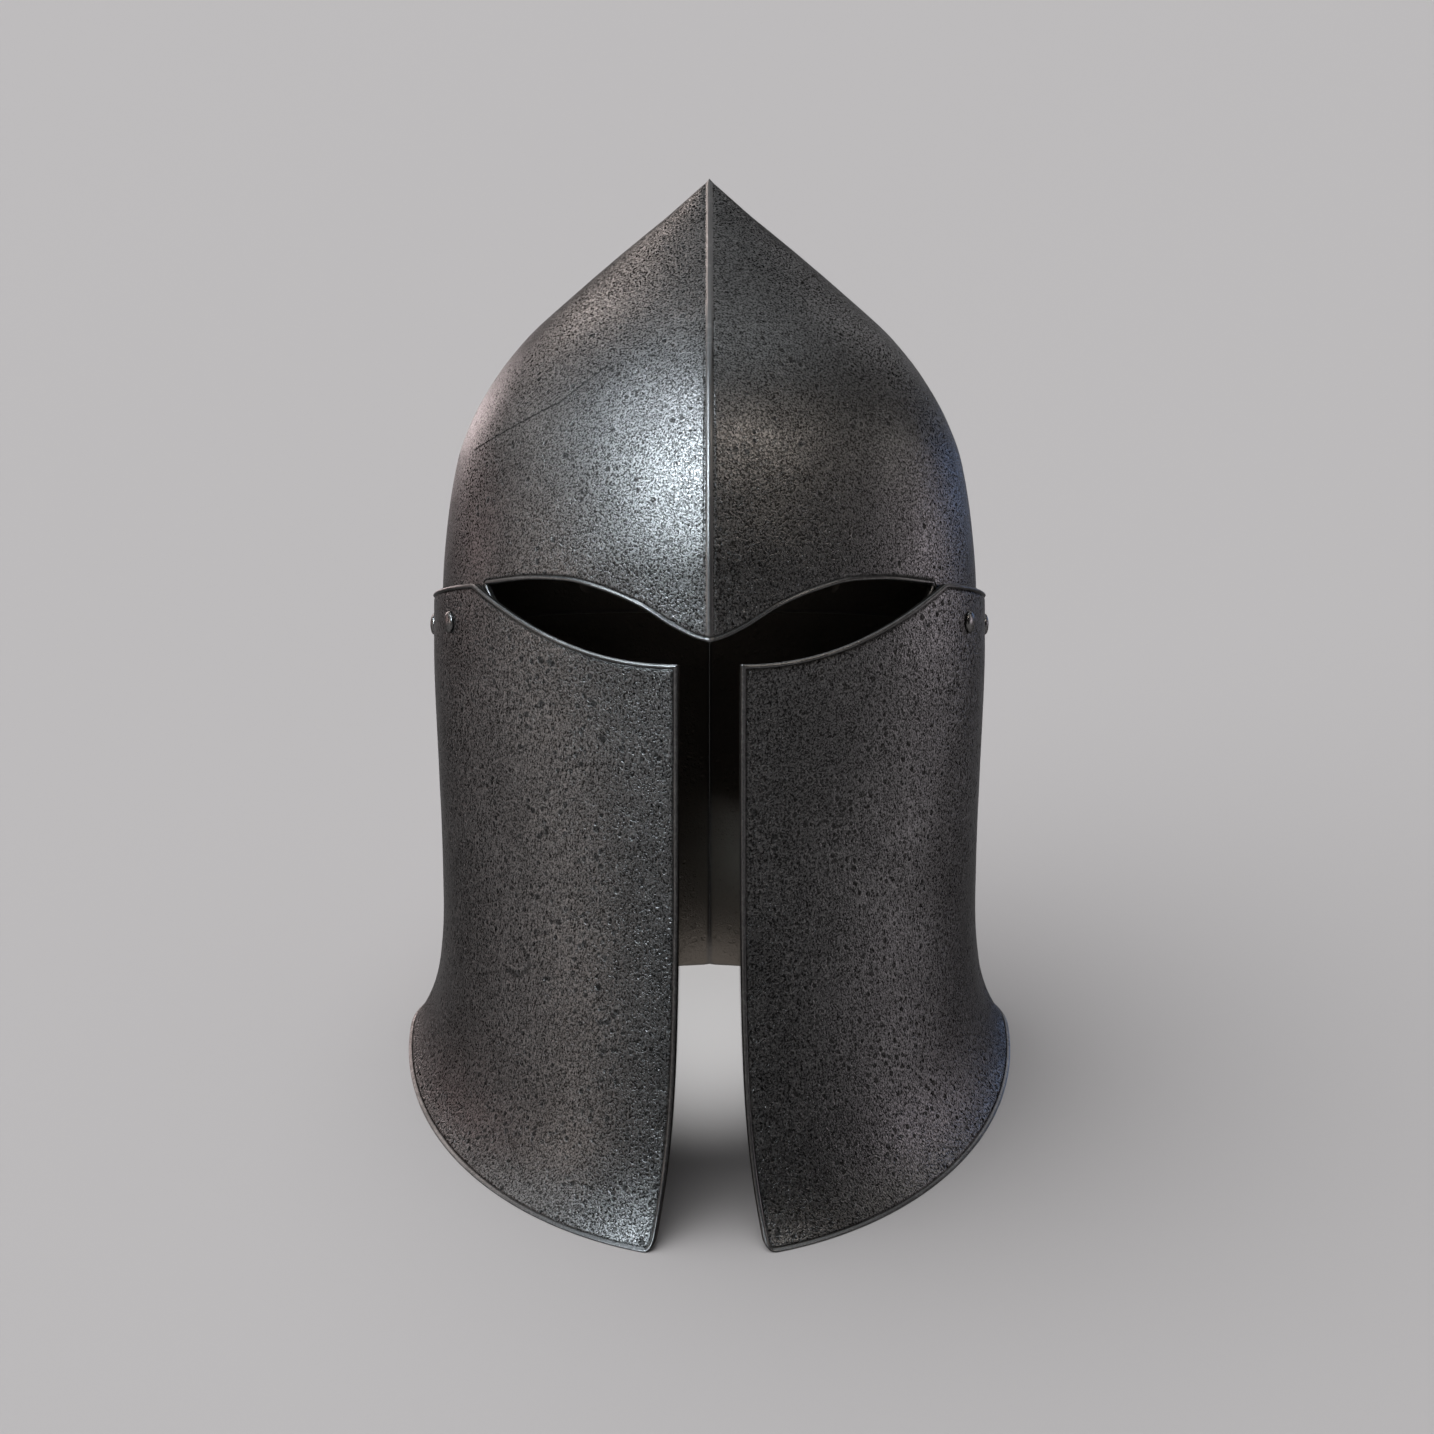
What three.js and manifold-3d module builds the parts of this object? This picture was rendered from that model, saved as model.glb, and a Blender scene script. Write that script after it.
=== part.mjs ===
// A pointed steel sallet helmet with a narrow face slot: a one-piece skull and two lower plates that
// wrap from the slot round the cheeks to a seam at the nape, each held to the skull by a row of
// rivets. It rests on its flat lower rim and so leans back a little, as such a helmet does.
//
// Sizes are millimetres. Up to the last lines the helmet is drawn upright: X across the face, Y from
// the face (minus) to the nape (plus), Z up from the level of the two cheek tips.

import * as THREE from "three";
import { mergeVertices } from "three/addons/utils/BufferGeometryUtils.js";
import Module from "manifold-3d";

const wasm = await Module();
wasm.setup();

// Overall form
const helmetHeight = 398; // cheek tips to the point of the skull
const skullHalfWidth = 103.3; // outside, at the temples
const foreheadReach = 122.5; // from the upright axis forward to the brow crease
const napeReach = 118.5; // from the upright axis back to the rear crease
const neckSetBack = 51; // how far behind the axis the lower plates are widest
const pointSetBack = 10; // how far behind the axis the point of the skull stands
const foreheadCrease = radians(19); // slope of each side of the face away from the middle crease
const napeCrease = radians(7);
const foreheadFullness = 1.08; // 1 is a parabola, more is rounder
const napeFullness = 1.25;

// Sheets, clearances and the rim
const skullWall = 2;
const plateWall = 2.4;
const lapClearance = 0.9; // between the skull and the plates that lie over it
const seamClearance = 0.4; // between the two plates at the nape
const tipReach = 128; // cheek tips, forward of the axis
const rimSlope = radians(20); // how steeply the rim climbs from the tips to the nape
const flareReach = 14; // how far the rim turns out
const flareFade = 18; // height over which the flare dies away

// Face opening
const slotHalfWidth = 10.8; // at the neck
const slotTopSpread = 0.7; // what each side opens towards the eyes
const slotTipSpread = 9.5; // what each side opens towards the tips
const slotTipFade = 32;
const slotTopHeight = 207; // where the slot meets the eye openings
const eyeCornerOut = 82.4; // outer corner of each eye opening, from the middle
const eyeCornerHeight = 237.3;
const nasalTipHeight = 214.7; // the point of steel between the eyes
const browRise = 23.7; // nasal tip to the top of the eye opening
const cheekCornerOut = 87.8; // where a cheek's upper edge turns back over the temple
const cheekCornerRise = 30.8; // slot top to that corner
const cheekCurve = 2.1; // power of the curve between them
const lidStrip = 4.9; // width of skull left showing below the eye corner
const tongueEndOut = 61; // where the skull's edge dives down behind the cheek

// Lap of the plates over the skull
const lapHeight = 224; // middle line of the lap at the temples
const lapHalfHeight = 12;
const lapRearRise = 20; // what the lap climbs towards the nape

// Rivets
const rivetCount = 4; // on each side
const rivetPitch = 60;
const firstRivetAhead = 46; // first rivet, forward of the axis
const rivetHeadDiameter = 9.2;
const rivetHeadHeight = 1.9;
const rivetShankDiameter = 4;
const rivetTailDiameter = 7;
const rivetTailHeight = 1;
const rivetClearance = 0.3; // under the head and round the shank
const rivetTailClearance = 0.7; // between the tail and the skull's hollow side

// How finely the surfaces are cut into flat faces
const eyeColumns = 9;
const sideColumns = 18;
const domeRows = 14;
const skirtRows = 3;
const plateRows = 10;
const rivetSides = 10;
const sideShare = 0.55; // share of a half section that lies ahead of its widest place

const steel = { color: 0x3f3f40, roughness: 0.42, metalness: 1 };
const polishedSteel = { color: 0x5c5b5a, roughness: 0.3, metalness: 1 };

// Lower sections of the body. up is a share of helmetHeight, half of skullHalfWidth, front of
// foreheadReach, rear of napeReach, back of neckSetBack, crease of foreheadCrease, face of
// foreheadFullness and nape of napeFullness.
const neckSections = [
  { up: 0, half: 0.98, front: 0.955, rear: 0.77, back: 1, crease: 0.37, face: 0.69, nape: 1.35 },
  { up: 0.15, half: 0.98, front: 0.948, rear: 0.77, back: 0.98, crease: 0.45, face: 0.73, nape: 1.35 },
  { up: 0.276, half: 0.981, front: 0.944, rear: 0.776, back: 0.85, crease: 0.7, face: 0.82, nape: 1.25 },
  { up: 0.377, half: 0.988, front: 0.958, rear: 0.832, back: 0.6, crease: 0.9, face: 0.93, nape: 1.12 },
  { up: 0.477, half: 0.999, front: 0.981, rear: 0.925, back: 0.36, crease: 1, face: 1, nape: 1.03 },
  { up: 0.54, half: 1.004, front: 0.996, rear: 0.973, back: 0.24, crease: 1, face: 1, nape: 1 },
  { up: 0.603, half: 1, front: 1, rear: 1, back: 0.18, crease: 1, face: 1, nape: 1 },
];

// Upper sections shrink towards the point. up is a share of helmetHeight and reach a share of the
// skull's sizes at the temples.
const domeSections = [
  { up: 0.665, reach: 0.982 },
  { up: 0.723, reach: 0.944 },
  { up: 0.762, reach: 0.889 },
  { up: 0.801, reach: 0.806 },
  { up: 0.84, reach: 0.689 },
  { up: 0.879, reach: 0.532 },
  { up: 0.918, reach: 0.362 },
  { up: 0.943, reach: 0.249 },
  { up: 0.961, reach: 0.166 },
  { up: 1.0, reach: 0.0 },
];

// Lower edge of the skull over each eye. out is a share of eyeCornerOut, rise of browRise.
const browEdge = [
  { out: 0.0, rise: 0.0 },
  { out: 0.06, rise: 0.06 },
  { out: 0.15, rise: 0.21 },
  { out: 0.31, rise: 0.56 },
  { out: 0.46, rise: 0.79 },
  { out: 0.64, rise: 0.965 },
  { out: 0.8, rise: 1.0 },
  { out: 1.0, rise: 0.954 },
];

function radians(degrees) {
  return (degrees * Math.PI) / 180;
}

function blend(from, to, share) {
  return from + (to - from) * share;
}

function smoothShare(value, from, to) {
  const share = Math.min(1, Math.max(0, (value - from) / (to - from)));
  return share * share * (3 - 2 * share);
}

// A smooth curve through a table that never swings past its rows.
function curveThrough(rows, from, to) {
  const x = rows.map((row) => row[from]);
  const y = rows.map((row) => row[to]);
  const slope = x.slice(1).map((value, i) => (y[i + 1] - y[i]) / (value - x[i]));
  const tangent = x.map((_, i) => {
    if (i === 0) return slope[0];
    if (i === x.length - 1) return slope[i - 1];
    const [before, after] = [slope[i - 1], slope[i]];
    return before * after <= 0 ? 0 : (2 * before * after) / (before + after);
  });
  return (value) => {
    const at = Math.min(Math.max(value, x[0]), x[x.length - 1]);
    let i = 0;
    while (i < x.length - 2 && at > x[i + 1]) i++;
    const width = x[i + 1] - x[i];
    const t = (at - x[i]) / width;
    const [t2, t3] = [t * t, t * t * t];
    return (
      y[i] * (2 * t3 - 3 * t2 + 1) +
      tangent[i] * width * (t3 - 2 * t2 + t) +
      y[i + 1] * (3 * t2 - 2 * t3) +
      tangent[i + 1] * width * (t3 - t2)
    );
  };
}

// Level sections of the body, in millimetres, from the two tables
const temple = neckSections[neckSections.length - 1];
const sections = [
  ...neckSections.map((row) => ({
    height: row.up * helmetHeight,
    half: row.half * skullHalfWidth,
    front: row.front * foreheadReach,
    rear: row.rear * napeReach,
    widest: row.back * neckSetBack,
    crease: row.crease * foreheadCrease,
    face: row.face * foreheadFullness,
    nape: row.nape * napeFullness,
  })),
  ...domeSections.map((row) => ({
    height: row.up * helmetHeight,
    half: row.reach * skullHalfWidth,
    front: row.reach * (foreheadReach + pointSetBack) - pointSetBack,
    rear: row.reach * (napeReach - pointSetBack) + pointSetBack,
    widest: blend(pointSetBack, temple.back * neckSetBack, row.reach),
    crease: foreheadCrease,
    face: foreheadFullness,
    nape: napeFullness,
  })),
];
const halfAt = curveThrough(sections, "height", "half");
const frontAt = curveThrough(sections, "height", "front");
const rearAt = curveThrough(sections, "height", "rear");
const widestAt = curveThrough(sections, "height", "widest");
const creaseAt = curveThrough(sections, "height", "crease");
const faceRoundAt = curveThrough(sections, "height", "face");
const napeRoundAt = curveThrough(sections, "height", "nape");

// Point of a level section on the wearer's left side: share 0 is the middle of the face, 1 the
// middle of the nape. Each half is two conic arcs that meet where the helmet is widest.
function sectionPoint(height, share) {
  const [half, front, rear, widest] = [halfAt, frontAt, rearAt, widestAt].map((at) => at(height));
  const ahead = share < sideShare;
  const t = ahead ? share / sideShare : (share - sideShare) / (1 - sideShare);
  const start = ahead ? [0, -front] : [half, widest];
  const end = ahead ? [half, widest] : [0, rear];
  const corner = ahead
    ? [half, half * Math.tan(creaseAt(height)) - front]
    : [half, rear - half * Math.tan(napeCrease)];
  const fullness = ahead ? faceRoundAt(height) : napeRoundAt(height);
  const weights = [(1 - t) ** 2, 2 * fullness * t * (1 - t), t * t];
  const total = weights[0] + weights[1] + weights[2];
  return [0, 1].map(
    (i) => (weights[0] * start[i] + weights[1] * corner[i] + weights[2] * end[i]) / total,
  );
}

// Outward direction of a level section, which at the two creases is that of the wearer's left side
function sectionNormal(height, share) {
  const step = 1e-4;
  const before = sectionPoint(height, Math.max(0, share - step));
  const after = sectionPoint(height, Math.min(1, share + step));
  const [dx, dy] = [after[0] - before[0], after[1] - before[1]];
  const length = Math.hypot(dx, dy);
  return [dy / length, -dx / length];
}

const onCrease = (share) => share === 0 || share === 1;

// Skin of the skull, at a distance outside (or, below zero, inside) the section
function skullPoint(height, share, distance) {
  if (height >= helmetHeight) {
    const flank = Math.abs(halfAt(helmetHeight) - halfAt(helmetHeight - 1));
    return [0, pointSetBack, helmetHeight + (distance * Math.hypot(1, flank)) / flank];
  }
  const [x, y] = sectionPoint(height, share);
  const [nx, ny] = sectionNormal(height, share);
  const above = sectionPoint(height + 0.05, share);
  const below = sectionPoint(height - 0.05, share);
  const growth = ((above[0] - below[0]) * nx + (above[1] - below[1]) * ny) / 0.1;
  const length = Math.hypot(1, growth);
  if (onCrease(share)) {
    const mitre = (distance * length) / (ny * ny + growth * growth);
    return [0, y + mitre * ny, height - mitre * growth];
  }
  return [
    x + (distance * nx) / length,
    y + (distance * ny) / length,
    height - (distance * growth) / length,
  ];
}

// Skin of a lower plate at a height above the sloping rim plane. The flare follows the rim.
function platePoint(above, share, distance) {
  const flare = flareReach * Math.exp(-above / flareFade);
  const lean = flare / flareFade;
  const outward = distance * Math.hypot(1, lean) + flare;
  let height = above;
  let point = [0, 0];
  for (let i = 0; i < 16; i++) {
    const [x, y] = sectionPoint(height, share);
    const [nx, ny] = sectionNormal(height, share);
    point = onCrease(share) ? [0, y + outward / ny] : [x + outward * nx, y + outward * ny];
    height = above + (point[1] + tipReach) * Math.tan(rimSlope);
  }
  return [point[0], point[1], height];
}

// Height above the rim plane at which a plate's skin reaches a height
function aboveRim(height, share, distance) {
  let above = height;
  for (let i = 0; i < 16; i++) above += height - platePoint(above, share, distance)[2];
  return above;
}

// Edges that a front view shows, each as a height at a distance out from the middle
const browShare = curveThrough(browEdge, "out", "rise");
const browHeight = (out) => nasalTipHeight + browRise * browShare(out / eyeCornerOut);

function cheekHeight(out) {
  const start = slotHalfWidth + slotTopSpread;
  const share = Math.min(1, Math.max(0, (out - start) / (cheekCornerOut - start)));
  return slotTopHeight + cheekCornerRise * share ** cheekCurve;
}

function lidOut(height) {
  const rise = Math.max(0, height - slotTopHeight) / cheekCornerRise;
  const start = slotHalfWidth + slotTopSpread;
  const edge = start + (cheekCornerOut - start) * Math.min(1, rise) ** (1 / cheekCurve);
  const strip = lidStrip * Math.max(0, (rise - 0.42) / 0.58);
  return Math.max(edge - strip, tongueEndOut);
}

const lapMiddle = (y) => lapHeight + lapRearRise * smoothShare(y, 0, napeReach);

// Share of the section at which a skin is a distance out from the middle, ahead of the widest place
function shareAtOut(out, skin) {
  let [low, high] = [0, sideShare];
  for (let i = 0; i < 40; i++) {
    const middle = (low + high) / 2;
    if (skin(middle)[0] < out) low = middle;
    else high = middle;
  }
  return (low + high) / 2;
}

const plateOutside = lapClearance + plateWall;
const eyeCornerShare = shareAtOut(eyeCornerOut, (share) => skullPoint(eyeCornerHeight, share, 0));
const cheekCornerShare = shareAtOut(cheekCornerOut, (share) => {
  const above = aboveRim(slotTopHeight + cheekCornerRise, share, plateOutside);
  return platePoint(above, share, plateOutside);
});

// An open surface: rows of points, each point with its place on the outer and on the inner skin
class Wall {
  constructor() {
    this.outer = [];
    this.inner = [];
    this.triangles = [];
    this.known = new Map();
  }

  // The same place gets the same number, so patches and mirrored halves join.
  point(outer, inner) {
    const key = outer.map((value) => Math.round(value * 1000)).join(" ");
    if (!this.known.has(key)) {
      this.known.set(key, this.outer.length);
      this.outer.push(outer);
      this.inner.push(inner);
    }
    return this.known.get(key);
  }

  triangle(a, b, c, mirrored) {
    if (a === b || b === c || c === a) return;
    this.triangles.push(mirrored ? [a, c, b] : [a, b, c]);
  }

  // Lays faces over a grid of point pairs whose columns run towards the nape and rows upwards.
  patch(grid, mirrored = false) {
    const side = mirrored ? -1 : 1;
    const number = grid.map((row) =>
      row.map(([outer, inner]) =>
        this.point([side * outer[0], outer[1], outer[2]], [side * inner[0], inner[1], inner[2]]),
      ),
    );
    for (let r = 0; r + 1 < number.length; r++) {
      for (let c = 0; c + 1 < number[r].length; c++) {
        const [a, b] = [number[r][c], number[r][c + 1]];
        const [d, e] = [number[r + 1][c], number[r + 1][c + 1]];
        this.triangle(a, b, e, mirrored);
        this.triangle(a, e, d, mirrored);
      }
    }
  }

  // Closes the two skins into one body along every open edge.
  closed() {
    const count = this.outer.length;
    const used = new Set();
    for (const t of this.triangles)
      for (let i = 0; i < 3; i++) used.add(t[i] + "/" + t[(i + 1) % 3]);
    const faces = [];
    for (const [a, b, c] of this.triangles) {
      faces.push(a, b, c, a + count, c + count, b + count);
      for (const [from, to] of [[a, b], [b, c], [c, a]]) {
        if (used.has(to + "/" + from)) continue;
        faces.push(to, from, from + count, to, from + count, to + count);
      }
    }
    const geometry = new THREE.BufferGeometry();
    const places = [...this.outer, ...this.inner].flat();
    geometry.setAttribute("position", new THREE.Float32BufferAttribute(places, 3));
    geometry.setIndex(faces);
    return geometry;
  }
}

// Shares of the section for the columns of a patch, from one share to the nape
const columnShares = (from, count) =>
  Array.from({ length: count + 1 }, (_, i) => blend(from, 1, i / count));

// Skull: a dome above the brow line, and below the eye corners a skirt that runs under the plates
function skullGeometry() {
  const wall = new Wall();
  const pair = (height, share) => [
    skullPoint(height, share, 0),
    skullPoint(height, share, -skullWall),
  ];
  const eyeShares = Array.from({ length: eyeColumns }, (_, i) => (eyeCornerShare * i) / eyeColumns);
  const sideShares = columnShares(eyeCornerShare, sideColumns);
  const lowEdge = (share) => {
    if (share >= eyeCornerShare) return eyeCornerHeight;
    let height = eyeCornerHeight;
    for (let i = 0; i < 12; i++) height = browHeight(skullPoint(height, share, 0)[0]);
    return height;
  };
  const domeGrid = Array.from({ length: domeRows + 1 }, (_, r) =>
    [...eyeShares, ...sideShares].map((share) => {
      const rise = 1 - (1 - r / domeRows) ** 1.15;
      return pair(r === domeRows ? helmetHeight : blend(lowEdge(share), helmetHeight, rise), share);
    }),
  );
  const skirtGrid = Array.from({ length: skirtRows + 1 }, (_, r) =>
    sideShares.map((_, c) => {
      const frontHeight = blend(lapHeight - lapHalfHeight, eyeCornerHeight, r / skirtRows);
      const edge =
        r === skirtRows
          ? eyeCornerShare
          : shareAtOut(lidOut(frontHeight), (share) => skullPoint(frontHeight, share, 0));
      const share = blend(edge, 1, c / sideColumns);
      const low = lapMiddle(sectionPoint(lapHeight, share)[1]) - lapHalfHeight;
      return pair(blend(low, eyeCornerHeight, r / skirtRows), share);
    }),
  );
  for (const mirrored of [false, true]) {
    wall.patch(domeGrid, mirrored);
    wall.patch(skirtGrid, mirrored);
  }
  return wall.closed();
}

// Half width of the face slot at a height above the rim plane and above the tips
function slotHalf(above, height) {
  const tip = slotTipSpread * Math.exp(-above / slotTipFade);
  return slotHalfWidth + slotTopSpread * (height / slotTopHeight) + tip;
}

// Lower plate on the wearer's left: from the face slot round to the nape, from the rim to the edge
// that lies over the skull
function plateGeometry() {
  const wall = new Wall();
  const topHeight = (share) => {
    let height = slotTopHeight;
    for (let i = 0; i < 12; i++) {
      const above = aboveRim(height, share, plateOutside);
      const [x, y] = platePoint(above, share, plateOutside);
      height =
        share < cheekCornerShare
          ? cheekHeight(x)
          : blend(
              slotTopHeight + cheekCornerRise,
              lapMiddle(y) + lapHalfHeight,
              smoothShare(share, cheekCornerShare, sideShare),
            );
    }
    return height;
  };
  const slotShare = (rise) => {
    let share = 0.05;
    for (let i = 0; i < 6; i++) {
      const above = rise * aboveRim(topHeight(share), share, plateOutside);
      const half = slotHalf(above, platePoint(above, share, plateOutside)[2]);
      share = shareAtOut(half, (at) => platePoint(above, at, plateOutside));
    }
    return share;
  };
  const grid = Array.from({ length: plateRows + 1 }, (_, r) => {
    const rise = (r / plateRows) ** 1.4;
    const front = slotShare(rise);
    const shares = Array.from({ length: eyeColumns }, (_, i) =>
      blend(front, cheekCornerShare, i / eyeColumns),
    );
    return [...shares, ...columnShares(cheekCornerShare, sideColumns)].map((share) => {
      const top = topHeight(share);
      return [plateOutside, lapClearance].map((distance) => {
        const point = platePoint(rise * aboveRim(top, share, distance), share, distance);
        point[0] = Math.max(point[0], seamClearance / 2);
        return point;
      });
    });
  });
  wall.patch(grid);
  return wall.closed();
}

// Places along the middle line of the lap: the first rivet, then one every pitch towards the nape
function rivetSeats() {
  const onLap = (share) => {
    const y = sectionPoint(lapHeight, share)[1];
    return platePoint(aboveRim(lapMiddle(y), share, plateOutside), share, plateOutside);
  };
  const steps = 2000;
  const seats = [];
  let [last, walked] = [null, 0];
  for (let i = 0; i <= steps && seats.length < rivetCount; i++) {
    const share = i / steps;
    const place = new THREE.Vector3(...onLap(share));
    if (last && seats.length) walked += place.distanceTo(last);
    const first = !seats.length && place.y >= -firstRivetAhead;
    if (first || (seats.length && walked >= rivetPitch)) {
      const [nx, ny] = sectionNormal(place.z, share);
      seats.push({ place, outward: new THREE.Vector3(nx, ny, 0) });
      walked = 0;
    }
    last = place;
  }
  return seats;
}

// A rivet turned about its own axis: domed head outside, shank through both sheets, flat tail inside.
// Its zero is the plate's outer face, and Y points outwards.
function rivetGeometry() {
  const head = rivetHeadDiameter / 2;
  const shank = rivetShankDiameter / 2;
  const tail = rivetTailDiameter / 2;
  const inside = -(plateOutside + skullWall + rivetTailClearance);
  const domeSteps = 4;
  const dome = Array.from({ length: domeSteps + 1 }, (_, i) => {
    const angle = (i / domeSteps) * (Math.PI / 2);
    const edge = rivetHeadHeight * 0.25;
    return new THREE.Vector2(
      i === domeSteps ? 0 : head * Math.cos(angle),
      rivetClearance + edge + (rivetHeadHeight - edge) * Math.sin(angle),
    );
  });
  const profile = [
    new THREE.Vector2(0, inside - rivetTailHeight),
    new THREE.Vector2(tail * 0.8, inside - rivetTailHeight),
    new THREE.Vector2(tail, inside - rivetTailHeight * 0.4),
    new THREE.Vector2(tail, inside),
    new THREE.Vector2(shank, inside),
    new THREE.Vector2(shank, rivetClearance),
    new THREE.Vector2(head, rivetClearance),
    ...dome,
  ];
  return new THREE.LatheGeometry(profile, rivetSides);
}

// Closed solid of a geometry, moved by a matrix
function solidOf(geometry, matrix = new THREE.Matrix4()) {
  const plain = geometry.clone();
  plain.deleteAttribute("normal");
  plain.deleteAttribute("uv");
  const merged = mergeVertices(plain, 1e-4).applyMatrix4(matrix);
  return new wasm.Manifold(
    new wasm.Mesh({
      numProp: 3,
      vertProperties: merged.attributes.position.array,
      triVerts: new Uint32Array(merged.index.array),
    }),
  );
}

function geometryOf(solid) {
  const mesh = solid.getMesh();
  const geometry = new THREE.BufferGeometry();
  geometry.setAttribute("position", new THREE.BufferAttribute(mesh.vertProperties, 3));
  geometry.setIndex(new THREE.BufferAttribute(mesh.triVerts, 1));
  geometry.computeVertexNormals();
  return geometry;
}

// Where a rivet sits: its own axis turned to the sheet's outward direction, on either side
function seatMatrix(seat, side) {
  const outward = new THREE.Vector3(side * seat.outward.x, seat.outward.y, seat.outward.z);
  const turn = new THREE.Quaternion().setFromUnitVectors(new THREE.Vector3(0, 1, 0), outward);
  const place = new THREE.Vector3(side * seat.place.x, seat.place.y, seat.place.z);
  return new THREE.Matrix4().compose(place, turn, new THREE.Vector3(1, 1, 1));
}

// Drills the rivet holes of one side, or of both, through a sheet.
function drilled(geometry, seats, sides) {
  const depth = 4 * (plateOutside + skullWall);
  const drill = new THREE.CylinderGeometry(
    rivetShankDiameter / 2 + rivetClearance,
    rivetShankDiameter / 2 + rivetClearance,
    depth,
    rivetSides,
  );
  let solid = solidOf(geometry);
  for (const side of sides)
    for (const seat of seats) solid = solid.subtract(solidOf(drill, seatMatrix(seat, side)));
  return geometryOf(solid);
}

function mesh(name, geometry, finish) {
  const piece = new THREE.Mesh(geometry, new THREE.MeshStandardMaterial(finish));
  piece.name = name;
  return piece;
}

const sides = [
  { name: "left", across: 1 },
  { name: "right", across: -1 },
];
const seats = rivetSeats();
const upright = new THREE.Group();
upright.add(mesh("skull", drilled(skullGeometry(), seats, [1, -1]), steel));

const leftPlate = drilled(plateGeometry(), seats, [1]);
for (const { name, across } of sides) {
  let plate = leftPlate;
  if (across < 0) {
    plate = geometryOf(solidOf(leftPlate).mirror([1, 0, 0]));
  }
  upright.add(mesh("cheek_plate_" + name, plate, steel));
  seats.forEach((seat, i) => {
    const rivet = mesh("rivet_" + name + "_" + (i + 1), rivetGeometry(), polishedSteel);
    rivet.applyMatrix4(seatMatrix(seat, across));
    upright.add(rivet);
  });
}

// The rim lies flat, which leans the helmet back, and the origin is under the middle of the whole.
const helmet = new THREE.Group();
helmet.add(upright);
upright.rotation.x = -rimSlope;
upright.updateMatrixWorld(true);
const box = new THREE.Box3().setFromObject(upright, true);
upright.position.set(0, -(box.min.y + box.max.y) / 2, -box.min.z);

export default helmet;
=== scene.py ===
import math

import bpy
import numpy as np
from mathutils import Matrix, Vector


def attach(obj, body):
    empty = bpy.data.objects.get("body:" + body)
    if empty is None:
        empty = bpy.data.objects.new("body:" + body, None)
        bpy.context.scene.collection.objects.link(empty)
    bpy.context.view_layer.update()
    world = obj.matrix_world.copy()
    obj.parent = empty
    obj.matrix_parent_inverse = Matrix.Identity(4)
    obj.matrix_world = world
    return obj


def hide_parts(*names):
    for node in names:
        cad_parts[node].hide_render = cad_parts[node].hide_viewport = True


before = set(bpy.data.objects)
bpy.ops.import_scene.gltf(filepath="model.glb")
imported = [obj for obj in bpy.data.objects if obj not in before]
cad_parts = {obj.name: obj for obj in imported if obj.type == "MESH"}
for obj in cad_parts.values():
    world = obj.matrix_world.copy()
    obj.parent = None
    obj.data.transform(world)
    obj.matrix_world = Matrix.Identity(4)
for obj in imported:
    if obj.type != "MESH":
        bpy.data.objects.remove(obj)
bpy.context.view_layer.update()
mm = 0.001

# The camera. It looks at the helmet's face dead ahead, as the photograph does. The helmet leans
# back on its sloping rim, so the camera leans with it and looks down from above the floor.
lean = math.radians(20)
tip_reach = 128 * mm
view_distance = 1467 * mm
view_height = 188.4 * mm
photo_side = 1434
focal_pixels = 3789
face_line_left_of_centre = 7.5

# The upright helmet's zero in the frame: its rim plane is the floor, its tips are the front.
tilt = Matrix.Rotation(-lean, 4, "X")
rim_drop = tip_reach * math.sin(lean)
apex_set_back, helmet_height = 10 * mm, 398 * mm
apex = max((v.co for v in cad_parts["skull"].data.vertices), key=lambda co: (
    co.y * math.sin(lean) + co.z * math.cos(lean)))
upright_zero = Vector((0, apex.y - (tilt @ Vector((0, apex_set_back, helmet_height))).y, -rim_drop))
to_frame = Matrix.Translation(upright_zero) @ tilt

camera_data = bpy.data.cameras.new("camera")
camera_data.sensor_width = 36
camera_data.lens = focal_pixels / photo_side * camera_data.sensor_width
camera_data.shift_x = face_line_left_of_centre / photo_side
camera_data.clip_end = 50
camera = bpy.data.objects.new("camera", camera_data)
bpy.context.scene.collection.objects.link(camera)
camera.matrix_world = to_frame @ Matrix.Translation((0, -view_distance, view_height)) @ (
    Matrix.Rotation(math.radians(90), 4, "X"))
bpy.context.scene.camera = camera


# The floor. A plain pale grey studio sheet that runs out of view on every side. The helmet
# stands on it with its whole ground rim.
bpy.ops.object.select_all(action="DESELECT")
bpy.ops.mesh.primitive_plane_add(size=12, location=(0, 0, 0))
floor = bpy.context.object
floor.name = "floor"
floor_paper = bpy.data.materials.new("floor_paper")
floor_paper.use_nodes = True
paper_shader = floor_paper.node_tree.nodes["Principled BSDF"]
paper_shader.inputs["Base Color"].default_value = (0.56, 0.55, 0.55, 1)
paper_shader.inputs["Roughness"].default_value = 0.9
floor.data.materials.append(floor_paper)


# The steel. Forged and left dark: close-set fine specks, clusters of pits, a few deep ones, thin
# scratches, smoother worn patches, edges rubbed bright, a sooty unpolished hollow side.
def shader_group(name, inputs, outputs):
    """An empty node group. Inputs hold a number, a vector of three or a colour of four."""
    group = bpy.data.node_groups.new(name, "ShaderNodeTree")
    for label, value in inputs.items():
        kind = {1: "Float", 3: "Vector", 4: "Color"}[np.size(value)]
        socket = group.interface.new_socket(label, in_out="INPUT", socket_type="NodeSocket" + kind)
        socket.default_value = value
    for label, kind in outputs.items():
        group.interface.new_socket(label, in_out="OUTPUT", socket_type="NodeSocket" + kind)
    return group, group.nodes.new("NodeGroupInput").outputs, group.nodes.new("NodeGroupOutput").inputs


def feed(tree, socket, value):
    """Links a socket to another, or sets its constant."""
    if isinstance(value, bpy.types.NodeSocket):
        tree.links.new(value, socket)
    else:
        socket.default_value = value


def node(tree, kind, inputs, **settings):
    """A shader node with its inputs fed by name or number."""
    made = tree.nodes.new("ShaderNode" + kind)
    for label, value in settings.items():
        setattr(made, label, value)
    for key, value in inputs.items():
        feed(tree, made.inputs[key], value)
    return made


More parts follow.
